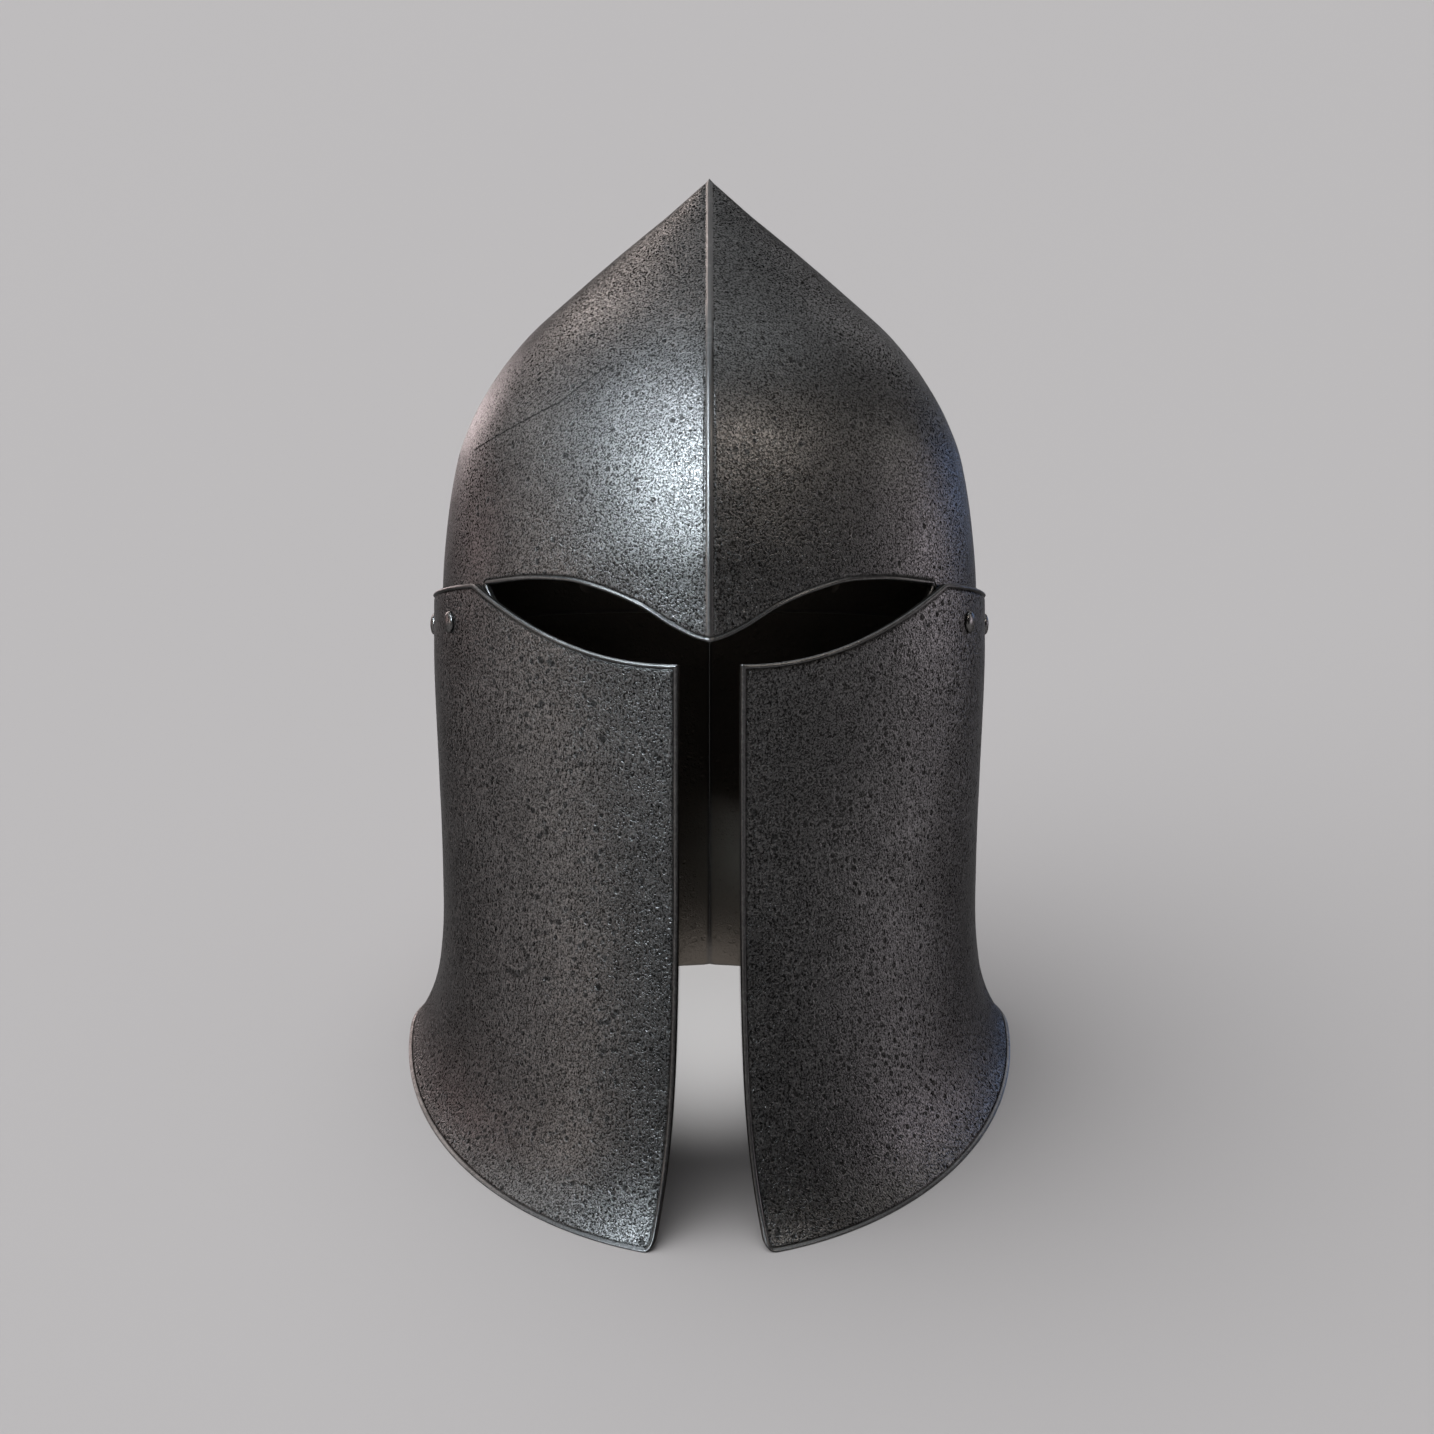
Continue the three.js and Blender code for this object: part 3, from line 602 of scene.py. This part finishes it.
def lay_sheet(name, rows, columns, outer, inner, drop=None):
    """A grid primitive, thickened, whose points are then set on the two skins of a sheet."""
    bpy.ops.object.select_all(action="DESELECT")
    bpy.ops.mesh.primitive_grid_add(x_subdivisions=columns - 1, y_subdivisions=rows - 1, size=0.3)
    sheet = bpy.context.object
    sheet.name = sheet.data.name = name
    grid = sheet.data
    number = np.arange(rows * columns)
    place = grid.attributes.new("grid_place", "INT", "POINT")
    place.data.foreach_set("value", number)
    grid.vertices.foreach_set("co", outer.reshape(-1))
    if drop is not None:
        grid.polygons.foreach_set("select", np.zeros(len(grid.polygons), bool))
        grid.edges.foreach_set("select", np.zeros(len(grid.edges), bool))
        grid.vertices.foreach_set("select", np.zeros(len(grid.vertices), bool))
        grid.polygons.foreach_set("select", drop.reshape(-1))
        bpy.ops.object.mode_set(mode="EDIT")
        bpy.ops.mesh.select_mode(type="FACE")
        bpy.ops.mesh.delete(type="FACE")
        bpy.ops.object.mode_set(mode="OBJECT")
    bpy.ops.object.mode_set(mode="EDIT")
    bpy.ops.mesh.select_mode(type="VERT")
    bpy.ops.mesh.select_all(action="SELECT")
    bpy.ops.mesh.remove_doubles(threshold=0.002 * mm)
    bpy.ops.object.mode_set(mode="OBJECT")
    one_skin = len(sheet.data.vertices)
    wall = sheet.modifiers.new("wall", "SOLIDIFY")
    wall.thickness = skull_wall
    wall.offset = -1
    bpy.ops.object.modifier_apply(modifier=wall.name)
    mesh = sheet.data
    number = np.empty(len(mesh.vertices), int)
    mesh.attributes["grid_place"].data.foreach_get("value", number)
    is_inner = np.arange(len(number)) >= one_skin
    spots = np.where(is_inner[:, None], inner.reshape(-1, 3)[number], outer.reshape(-1, 3)[number])
    mesh.vertices.foreach_set("co", spots.reshape(-1))
    mesh.attributes.remove(mesh.attributes["grid_place"])
    return sheet, number, is_inner


def write_value(mesh, name, values):
    """Stores a value at each point of a mesh, for the steel to read."""
    attribute = mesh.attributes.new(name, "FLOAT", "POINT")
    attribute.data.foreach_set("value", np.asarray(values, np.float32))


def select_only(piece):
    bpy.ops.object.select_all(action="DESELECT")
    piece.select_set(True)
    bpy.context.view_layer.objects.active = piece


def finish_sheet(sheet, solid, edge, is_inner, rubbed):
    mesh = sheet.data
    write_value(mesh, "edge_distance", np.minimum(edge, 20 * mm))
    write_value(mesh, "hollow_side", is_inner.astype(float))
    write_value(mesh, "rubbed", rubbed)
    mesh.transform(to_frame)
    mesh.materials.clear()
    mesh.materials.append(pitted_steel)
    select_only(sheet)
    bpy.ops.object.shade_smooth_by_angle(angle=math.radians(40))
    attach(sheet, "root")
    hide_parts(solid)


corner_share = share_at_out(np.array(eye_corner_out), lambda share: skull_skin(
    np.array(eye_corner_height), share, 0.0))
corner_walk = walked_to(float(corner_share), eye_corner_height)
_, nape_walk = shares_at(0, eye_corner_height)
walks = np.concatenate([
    bead_steps[:-1], steps_between(bead_steps[-1], corner_walk - bead_steps[-1], broad_step),
    corner_walk - bead_steps[:0:-1], corner_walk + bead_steps[:-1],
    steps_between(corner_walk + bead_steps[-1], nape_walk, broad_step), [nape_walk]])
half_shares, _ = shares_at(walks, eye_corner_height)
half_shares[-1] = 1.0
corner_column = int(np.argmin(np.abs(walks - corner_walk)))
corner_share = half_shares[corner_column]

# Heights of the dome's rows: fine above the brow, then even steps along the crease to the point
low_edge = np.full_like(half_shares, eye_corner_height)
over_eye = half_shares < corner_share
for _ in range(20):
    out = skull_skin(low_edge, half_shares, 0.0)[:, 0]
    low_edge = np.where(over_eye, brow_height(out), eye_corner_height)
levels = np.linspace(eye_corner_height, helmet_height, 2001)
flank_share = 0.35
rise_line = skull_skin(levels, np.full_like(levels, flank_share), 0.0)
rise_walk = np.concatenate([[0], np.cumsum(np.linalg.norm(np.diff(rise_line, axis=0), axis=1))])
broad_rows = np.linspace(0, rise_walk[-1], round(rise_walk[-1] / broad_step))[1:]
rise_share = (np.interp(broad_rows, rise_walk, levels) - eye_corner_height) / (
    helmet_height - eye_corner_height)
first_free = low_edge + bead_steps[-1]
dome_heights = np.concatenate([
    low_edge + bead_steps[:, None],
    first_free + (helmet_height - first_free) * rise_share[:, None]])
dome_heights[-1] = helmet_height
dome_shares = np.broadcast_to(half_shares, dome_heights.shape)

# The skirt's rows lie under them. Their front ends follow the lid edge down.
skirt_depth, skirt_bead_share, skirt_steps = 25 * mm, 0.2, 14
skirt_rise = np.concatenate([
    bead_steps[:-2] / skirt_depth, np.linspace(skirt_bead_share, 1, skirt_steps)[:-1]])
front_heights = lap_height - lap_half_height + (
    eye_corner_height - lap_height + lap_half_height) * skirt_rise
lid_share = share_at_out(lid_out(front_heights), lambda share: skull_skin(front_heights, share, 0.0))
along = (half_shares - corner_share) / (1 - corner_share)
skirt_shares = np.where(along >= 0, lid_share[:, None] + (1 - lid_share[:, None]) * along, half_shares)
lowest = lap_middle(section_point(np.full_like(skirt_shares, lap_height), skirt_shares)[1]) - (
    lap_half_height)
skirt_heights = lowest + (eye_corner_height - lowest) * skirt_rise[:, None]

skull_heights = np.concatenate([skirt_heights, dome_heights])
skull_shares = np.concatenate([skirt_shares, dome_shares])
skull_plain = skull_skin(skull_heights, skull_shares, 0.0)
skirt_rows = len(skirt_rise)

opening_line = np.concatenate([
    skull_plain[skirt_rows, :corner_column + 1], skull_plain[skirt_rows::-1, corner_column]])
lower_line = skull_plain[0, corner_column:]
flat = skull_plain.reshape(-1, 3)
edge_gap = distance_to_line(flat, opening_line).reshape(skull_heights.shape)
lower_gap = distance_to_line(flat, lower_line).reshape(skull_heights.shape)
crease_gap = skull_plain[..., 0]
skull_edge = np.minimum(edge_gap, lower_gap)
crease_strength = smooth_share(skull_edge, 0.4 * mm, 2.2 * mm) * (skull_shares < side_share)
relief = border_relief(skull_edge) + crease_relief(crease_gap) * crease_strength


def hammered(points, depth):
    """Slight unevenness left by the hammer and by age, as a relief in metres."""
    x, y, z = (points[..., i] / (10 * mm) for i in range(3))
    wave = (np.sin(0.9 * x + 1.7 * y + 0.3) * np.sin(1.1 * z - 0.6 * y)
            + 0.7 * np.sin(1.9 * z + 1.3 * x + 1.1) * np.sin(0.8 * y - 1.4 * x + 2.0)
            + 0.5 * np.sin(2.7 * x + 0.4) * np.sin(2.3 * z + 1.9 * y))
    return wave * depth


hammer_depth = 0.06 * mm
inner_round = 0.4 * mm


def edge_rounding(gap):
    """How far the hollow skin draws back at its very edge."""
    return inner_round * (1 - smooth_share(gap, 0, inner_round))


mirror = np.array([-1.0, 1, 1])


def both_sides(half, sign=1):
    """The wearer's left half with its mirror image before it."""
    return np.concatenate([half[:, :0:-1] * sign, half], axis=1)


outside = skull_skin(skull_heights, skull_shares, relief + hammered(skull_plain, hammer_depth) * (
    smooth_share(skull_edge, 1 * mm, 6 * mm)))
inside = skull_skin(skull_heights, skull_shares, -skull_wall + edge_rounding(skull_edge))
rows, half_columns = skull_heights.shape
columns = 2 * half_columns - 1
in_opening = np.zeros((rows - 1, columns - 1), bool)
in_opening[:skirt_rows, half_columns - 1 - corner_column:half_columns - 1 + corner_column] = True
skull, number, is_inner = lay_sheet(
    "skull_sheet", rows, columns, both_sides(outside, mirror), both_sides(inside, mirror), in_opening)
crease_rub = (1 - smooth_share(np.abs(crease_gap), 0.9 * mm, 1.4 * mm)) * (skull_shares < side_share)
finish_sheet(skull, "skull", both_sides(skull_edge).reshape(-1)[number], is_inner,
             both_sides(crease_rub).reshape(-1)[number] * ~is_inner)


# The cheek plates. A left and a right plate, each bent from one sheet: from the narrow face slot
# round the cheek to a seam at the nape, and from an edge that laps over the skull down to a
# flared rim. The rim is ground flat, so the helmet stands on it.
plate_wall = 2.4 * mm
lap_clearance = 0.9 * mm
seam_clearance = 0.002 * mm
flare_reach = 14 * mm
flare_fade = 18 * mm
slot_tip_spread = 9.5 * mm
slot_tip_fade = 32 * mm
tip_corner_radius = 3.5 * mm
plate_outside = lap_clearance + plate_wall
settling_rounds = 7  # enough for a height and the reach that depends on it to agree


def plate_skin(above, share, distance):
    """Skin of a plate at a height above the sloping rim plane. The flare follows the rim."""
    flare = flare_reach * np.exp(-above / flare_fade)
    outward = distance * np.hypot(1, flare / flare_fade) + flare
    on_crease = (share == 0) | (share == 1)
    height = above + 0 * share
    for _ in range(settling_rounds):
        x, y = section_point(height, share)
        nx, ny = section_normal(height, share)
        px = np.where(on_crease, 0, x + outward * nx)
        py = np.where(on_crease, y + outward / np.where(ny == 0, 1, ny), y + outward * ny)
        height = above + (py + tip_reach) * math.tan(lean)
    return np.stack([px, py, height], -1)


def above_rim(height, share, distance):
    """How high above the rim plane a skin is at that height above the floor."""
    above = height + 0 * share
    for _ in range(settling_rounds):
        above = above + height - plate_skin(above, share, distance)[..., 2]
    return above


def cheek_height(out):
    """Height of the plate's upper edge under the eye, that far out."""
    share = np.clip((out - slot_top_half) / (cheek_corner_out - slot_top_half), 0, 1)
    return slot_top_height + cheek_corner_rise * share**cheek_curve


def slot_half(above, height):
    """Half the width of the face slot, which opens out and rounds at the tips."""
    tip = slot_tip_spread * np.exp(-above / slot_tip_fade)
    turn = np.clip(1 - above / tip_corner_radius, 0, 1)
    corner = tip_corner_radius * (1 - np.sqrt(1 - turn**2))
    return slot_half_width + slot_top_spread * height / slot_top_height + tip + corner


cheek_corner_height = slot_top_height + cheek_corner_rise
cheek_share = float(share_at_out(np.array(cheek_corner_out), lambda share: plate_skin(
    above_rim(cheek_corner_height, share, plate_outside), share, plate_outside)))

# The upper edge as a height for each share, its corner eased round
edge_shares = np.linspace(0, 1, 1601)
top_heights = np.full_like(edge_shares, slot_top_height)
for _ in range(12):
    spots = plate_skin(above_rim(top_heights, edge_shares, plate_outside), edge_shares, plate_outside)
    behind = cheek_corner_height + (lap_middle(spots[:, 1]) + lap_half_height - cheek_corner_height) * (
        smooth_share(edge_shares, cheek_share, side_share))
    top_heights = np.where(edge_shares < cheek_share, cheek_height(spots[:, 0]), behind)
ease_width = 25
ease = np.hanning(ease_width)
padded_heights = np.pad(top_heights, ease_width // 2, mode="reflect", reflect_type="odd")
top_heights = np.convolve(padded_heights, ease / ease.sum(), mode="valid")


def reach_up(share, distance):
    """How high above the rim plane the upper edge is."""
    tops = above_rim(top_heights, edge_shares, distance)
    return np.interp(share, edge_shares, tops)


# Rows climb from the rim to the upper edge, columns run from the slot to the nape.
top_reach = reach_up(edge_shares, plate_outside)
middle_rows = 84
middle = np.linspace(0, 1, middle_rows + 2)[1:-1]


def row_heights(tall):
    """Heights above the rim of all rows, where the plate is that tall."""
    low, high = bead_steps[-1], tall - bead_steps[-1]
    ends = np.zeros(len(bead_steps))
    position = np.concatenate([ends, middle, ends + 1])[:, None]
    fixed = np.concatenate([bead_steps - bead_steps[-1], 0 * middle,
                            bead_steps[-1] - bead_steps[::-1]])[:, None]
    return low + (high - low) * position + fixed


first_slot_share = 0.06
slot_share = np.full(2 * len(bead_steps) + middle_rows, first_slot_share)
for _ in range(8):
    above = row_heights(np.interp(slot_share, edge_shares, top_reach)[:, None])[:, 0]
    half_gap = slot_half(above, plate_skin(above, slot_share, plate_outside)[:, 2])
    slot_share = share_at_out(half_gap, lambda share: plate_skin(above, share, plate_outside))
slot_level = 150 * mm
slot_walk = walked_to(float(np.median(slot_share)), slot_level)
_, seam_walk = shares_at(0, slot_level)
plate_walks = np.concatenate([
    slot_walk + bead_steps[:-1],
    steps_between(slot_walk + bead_steps[-1], seam_walk - bead_steps[-1], broad_step),
    seam_walk - bead_steps[::-1]])
column_share, _ = shares_at(plate_walks, slot_level)
column_share[-1] = 1.0
along = (column_share - column_share[0]) / (1 - column_share[0])
plate_shares = slot_share[:, None] + (1 - slot_share[:, None]) * along
plate_shares[:, -1] = 1.0
tall = np.interp(plate_shares, edge_shares, top_reach)
inner_tall = np.interp(plate_shares, edge_shares, reach_up(edge_shares, lap_clearance))
plate_above = row_heights(tall)
inner_above = row_heights(inner_tall)
plate_plain = plate_skin(plate_above, plate_shares, plate_outside)
rim_line, top_line = plate_plain[0], plate_plain[-1]
slot_line, seam_line = plate_plain[:, 0], plate_plain[:, -1]
flat = plate_plain.reshape(-1, 3)
plate_edge = distance_to_line(flat, np.concatenate([rim_line[::-1], slot_line[1:], top_line[1:]]))
plate_edge = plate_edge.reshape(plate_above.shape)
seam_gap = distance_to_line(flat, seam_line).reshape(plate_above.shape)

seam_border = 0.6  # the seam's border is lower than the others
hammer_shift = 50 * mm  # so the plates are uneven in other places than the skull
plate_relief = border_relief(plate_edge) + border_relief(seam_gap) * seam_border * (
    smooth_share(plate_edge, 0.4 * mm, 2.2 * mm))
plate_relief += hammered(plate_plain + hammer_shift, hammer_depth) * (
    smooth_share(plate_edge, 1 * mm, 6 * mm))
plate_out = plate_skin(plate_above, plate_shares, plate_outside + plate_relief)
plate_in = plate_skin(inner_above, plate_shares, lap_clearance + edge_rounding(plate_edge) + (
    edge_rounding(seam_gap)))
for skin in (plate_out, plate_in):
    skin[..., 0] = np.maximum(skin[..., 0], seam_clearance / 2)
    skin[:, -1, 0] = seam_clearance / 2

rows, columns = plate_above.shape
for side, name in ((1, "cheek_plate_left"), (-1, "cheek_plate_right")):
    turned = slice(None, None, side)
    across = np.array([side, 1, 1])
    plate, number, is_inner = lay_sheet(
        name + "_sheet", rows, columns, (plate_out * across)[:, turned], (plate_in * across)[:, turned])
    finish_sheet(plate, name, np.minimum(plate_edge, seam_gap)[:, turned].reshape(-1)[number], is_inner,
                 np.zeros(len(number)))


# The rivets. Steel, with low round heads rubbed smoother than the sheets. Each goes through the
# plate and the skull behind it and is flattened over inside. One is turned, the rest are copies.
rivet_steel = steel_material("rivet_steel", (0.22, 0.216, 0.212), (0.06, 0.058, 0.056),
                             (0.19, 0.168, 0.145), polish=0.7)
rivet_count, rivet_pitch, first_rivet_ahead = 4, 60 * mm, 46 * mm
head_radius, head_height, shank_radius = 4.1 * mm, 1.9 * mm, 2 * mm
tail_radius, tail_height = 3.5 * mm, 1 * mm
head_seat, tail_seat = 0.15 * mm, -(plate_outside + skull_wall + 0.7 * mm)
turn_steps = 40
walk_shares = np.linspace(0, 1, 4001)
walk_y = section_point(np.full_like(walk_shares, lap_height), walk_shares)[1]
lap_line = plate_skin(above_rim(lap_middle(walk_y), walk_shares, plate_outside), walk_shares,
                      plate_outside)
lap_walk = np.concatenate([[0], np.cumsum(np.linalg.norm(np.diff(lap_line, axis=0), axis=1))])
first_walk = np.interp(-first_rivet_ahead, lap_line[:, 1], lap_walk)

dome_turn = np.linspace(0, math.pi / 2, 9)
foot = 0.25 * head_height
profile = [(0, tail_seat - tail_height), (tail_radius * 0.7, tail_seat - tail_height),
           (tail_radius, tail_seat - tail_height * 0.5), (tail_radius, tail_seat),
           (shank_radius, tail_seat), (shank_radius, head_seat), (head_radius, head_seat)]
profile += [(head_radius * math.cos(a), head_seat + foot + (head_height - foot) * math.sin(a))
            for a in dome_turn]
outline = bpy.data.meshes.new("rivet_form")
outline.from_pydata([(r, 0, h) for r, h in profile], [
    (k, k + 1) for k in range(len(profile) - 1)], [])
form = bpy.data.objects.new("rivet_form", outline)
bpy.context.scene.collection.objects.link(form)
select_only(form)
bpy.ops.object.mode_set(mode="EDIT")
bpy.ops.mesh.select_all(action="SELECT")
bpy.ops.mesh.spin(steps=turn_steps, angle=math.tau, center=(0, 0, 0), axis=(0, 0, 1))
bpy.ops.mesh.select_all(action="SELECT")
bpy.ops.mesh.remove_doubles(threshold=0.01 * mm)
bpy.ops.mesh.normals_make_consistent(inside=False)
bpy.ops.object.mode_set(mode="OBJECT")
in_hollow = [float(vertex.co.z < tail_seat / 2) for vertex in outline.vertices]
write_value(outline, "edge_distance", np.full(len(in_hollow), 20 * mm))
write_value(outline, "hollow_side", in_hollow)
write_value(outline, "rubbed", np.full(len(in_hollow), 0.5))
outline.materials.append(rivet_steel)
bpy.ops.object.shade_smooth_by_angle(angle=math.radians(35))
for side, side_name in ((1, "left"), (-1, "right")):
    for i in range(rivet_count):
        share = np.interp(first_walk + i * rivet_pitch, lap_walk, walk_shares)
        x, y, z = (np.interp(share, walk_shares, lap_line[:, k]) for k in range(3))
        nx, ny = section_normal(np.array(z), np.array(share))
        outward = Vector((side * float(nx), float(ny), 0))
        seat = Matrix.Translation((side * x, y, z)) @ outward.to_track_quat("Z", "Y").to_matrix().to_4x4()
        name = f"rivet_{side_name}_{i + 1}"
        rivet = bpy.data.objects.new(name + "_head", outline.copy())
        bpy.context.scene.collection.objects.link(rivet)
        rivet.data.name = rivet.name
        rivet.data.transform(to_frame @ seat)
        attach(rivet, "root")
        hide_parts(name)
bpy.data.objects.remove(form)
bpy.data.meshes.remove(outline)


# The studio. A small cool key from the front left with a second one above it, and a small warm
# fill from the front right. Soft lights beside, behind and over the helmet brighten its edges,
# pinkish on the left, bluish on the right. Two soft suns and a spot in the slot light the floor.
world = bpy.data.worlds.new("studio")
bpy.context.scene.world = world
world.use_nodes = True
world.node_tree.nodes["Background"].inputs["Color"].default_value = (0.028, 0.028, 0.030, 1)
world.node_tree.nodes["Background"].inputs["Strength"].default_value = 1.0
only_floor = bpy.data.collections.new("only_floor")
only_floor.objects.link(floor)
all_but_floor = bpy.data.collections.new("all_but_floor")
all_but_floor.objects.link(floor)
all_but_floor.collection_objects[0].light_linking.link_state = "EXCLUDE"
face_centre = to_frame @ Vector((0, 0, 230 * mm))


def add_light(name, kind, azimuth, elevation, distance, power, colour, lights_floor, **settings):
    """A light that looks at the face. Azimuth runs from dead ahead to the viewer's right."""
    lamp = bpy.data.lights.new(name, kind)
    lamp.energy = power
    lamp.color = colour
    for label, value in settings.items():
        setattr(lamp, label, value)
    stand = bpy.data.objects.new(name, lamp)
    bpy.context.scene.collection.objects.link(stand)
    turn, climb = math.radians(azimuth), math.radians(elevation)
    toward = tilt.to_3x3() @ Vector((
        math.sin(turn) * math.cos(climb), -math.cos(turn) * math.cos(climb), math.sin(climb)))
    stand.location = face_centre + toward * distance
    stand.rotation_euler = toward.to_track_quat("Z", "Y").to_euler()
    stand.light_linking.receiver_collection = only_floor if lights_floor else all_but_floor


helmet_lights = [
    # name, azimuth, elevation, distance, width, height, power, colour
    ("key", -31, 25, 0.50, 0.06, 0.10, 1.85, (0.80, 0.92, 1.0)),
    ("key_high", -40, 50, 0.60, 0.10, 0.18, 1.35, (0.82, 0.91, 1.0)),
    ("left_front", -74, 4, 1.5, 0.5, 0.4, 2.0, (1.0, 0.87, 0.81)),
    ("left_side", -90, 30, 1.5, 0.5, 0.4, 1.9, (1.0, 1.0, 1.0)),
    ("left_low", -118, 5, 1.5, 0.5, 0.4, 1.6, (1.0, 0.70, 0.68)),
    ("left_back", -130, 32, 1.5, 0.5, 0.9, 3.8, (1.0, 0.92, 0.90)),
    ("left_pink", -150, 15, 1.5, 0.4, 0.3, 15, (1.0, 0.84, 0.84)),
    ("left_top", -100, 72, 1.5, 0.6, 0.6, 1.8, (0.84, 0.94, 1.0)),
    ("warm_top", -150, 45, 1.5, 0.35, 0.35, 9, (1.0, 0.89, 0.85)),
    ("back_top", 180, 72, 1.5, 0.6, 0.6, 1.3, (1.0, 1.0, 1.0)),
    ("right_top", 100, 72, 1.5, 0.6, 0.6, 1.8, (0.90, 0.96, 1.0)),
    ("warm_fill", 39, 36, 0.50, 0.05, 0.14, 0.28, (1.0, 0.90, 0.81)),
    ("right_front", 108, 4, 1.5, 0.5, 0.4, 2.5, (1.0, 0.90, 1.0)),
    ("right_side", 100, 24, 1.5, 0.5, 0.4, 1.1, (1.0, 0.96, 0.90)),
    ("right_back", 147, 34, 1.5, 0.5, 0.9, 4.6, (0.97, 0.97, 1.0)),
    ("right_blue", 141, 11, 1.1, 0.3, 0.25, 2.3, (0.28, 0.50, 1.0)),
    ("face_fill", 0, -9, 1.5, 0.4, 0.4, 0.6, (1.0, 0.95, 0.90)),
]
for name, azimuth, elevation, distance, width, height, power, colour in helmet_lights:
    add_light(name, "AREA", azimuth, elevation, distance, power, colour, False, shape="RECTANGLE",
              size=width, size_y=height)
add_light("floor_light", "SUN", -86, 50, 3, 3.05, (1.0, 0.99, 1.0), True, angle=math.radians(115))
add_light("floor_fill", "SUN", 125, 62, 3, 0.55, (1.0, 0.99, 1.0), True, angle=math.radians(130))
slot_light = bpy.data.lights.new("slot_light", "SPOT")
slot_light.energy = 205
slot_light.spot_size = math.radians(6.0)
slot_light.spot_blend = 1.0
slot_light.shadow_soft_size = 0.005
slot_stand = bpy.data.objects.new("slot_light", slot_light)
bpy.context.scene.collection.objects.link(slot_stand)
slot_stand.location = camera.matrix_world.translation
slot_strip = Vector((0, 91 * mm, 0))
slot_stand.rotation_euler = (slot_strip - slot_stand.location).to_track_quat("-Z", "Y").to_euler()
slot_stand.light_linking.receiver_collection = only_floor
bpy.context.scene.view_settings.view_transform = "Standard"
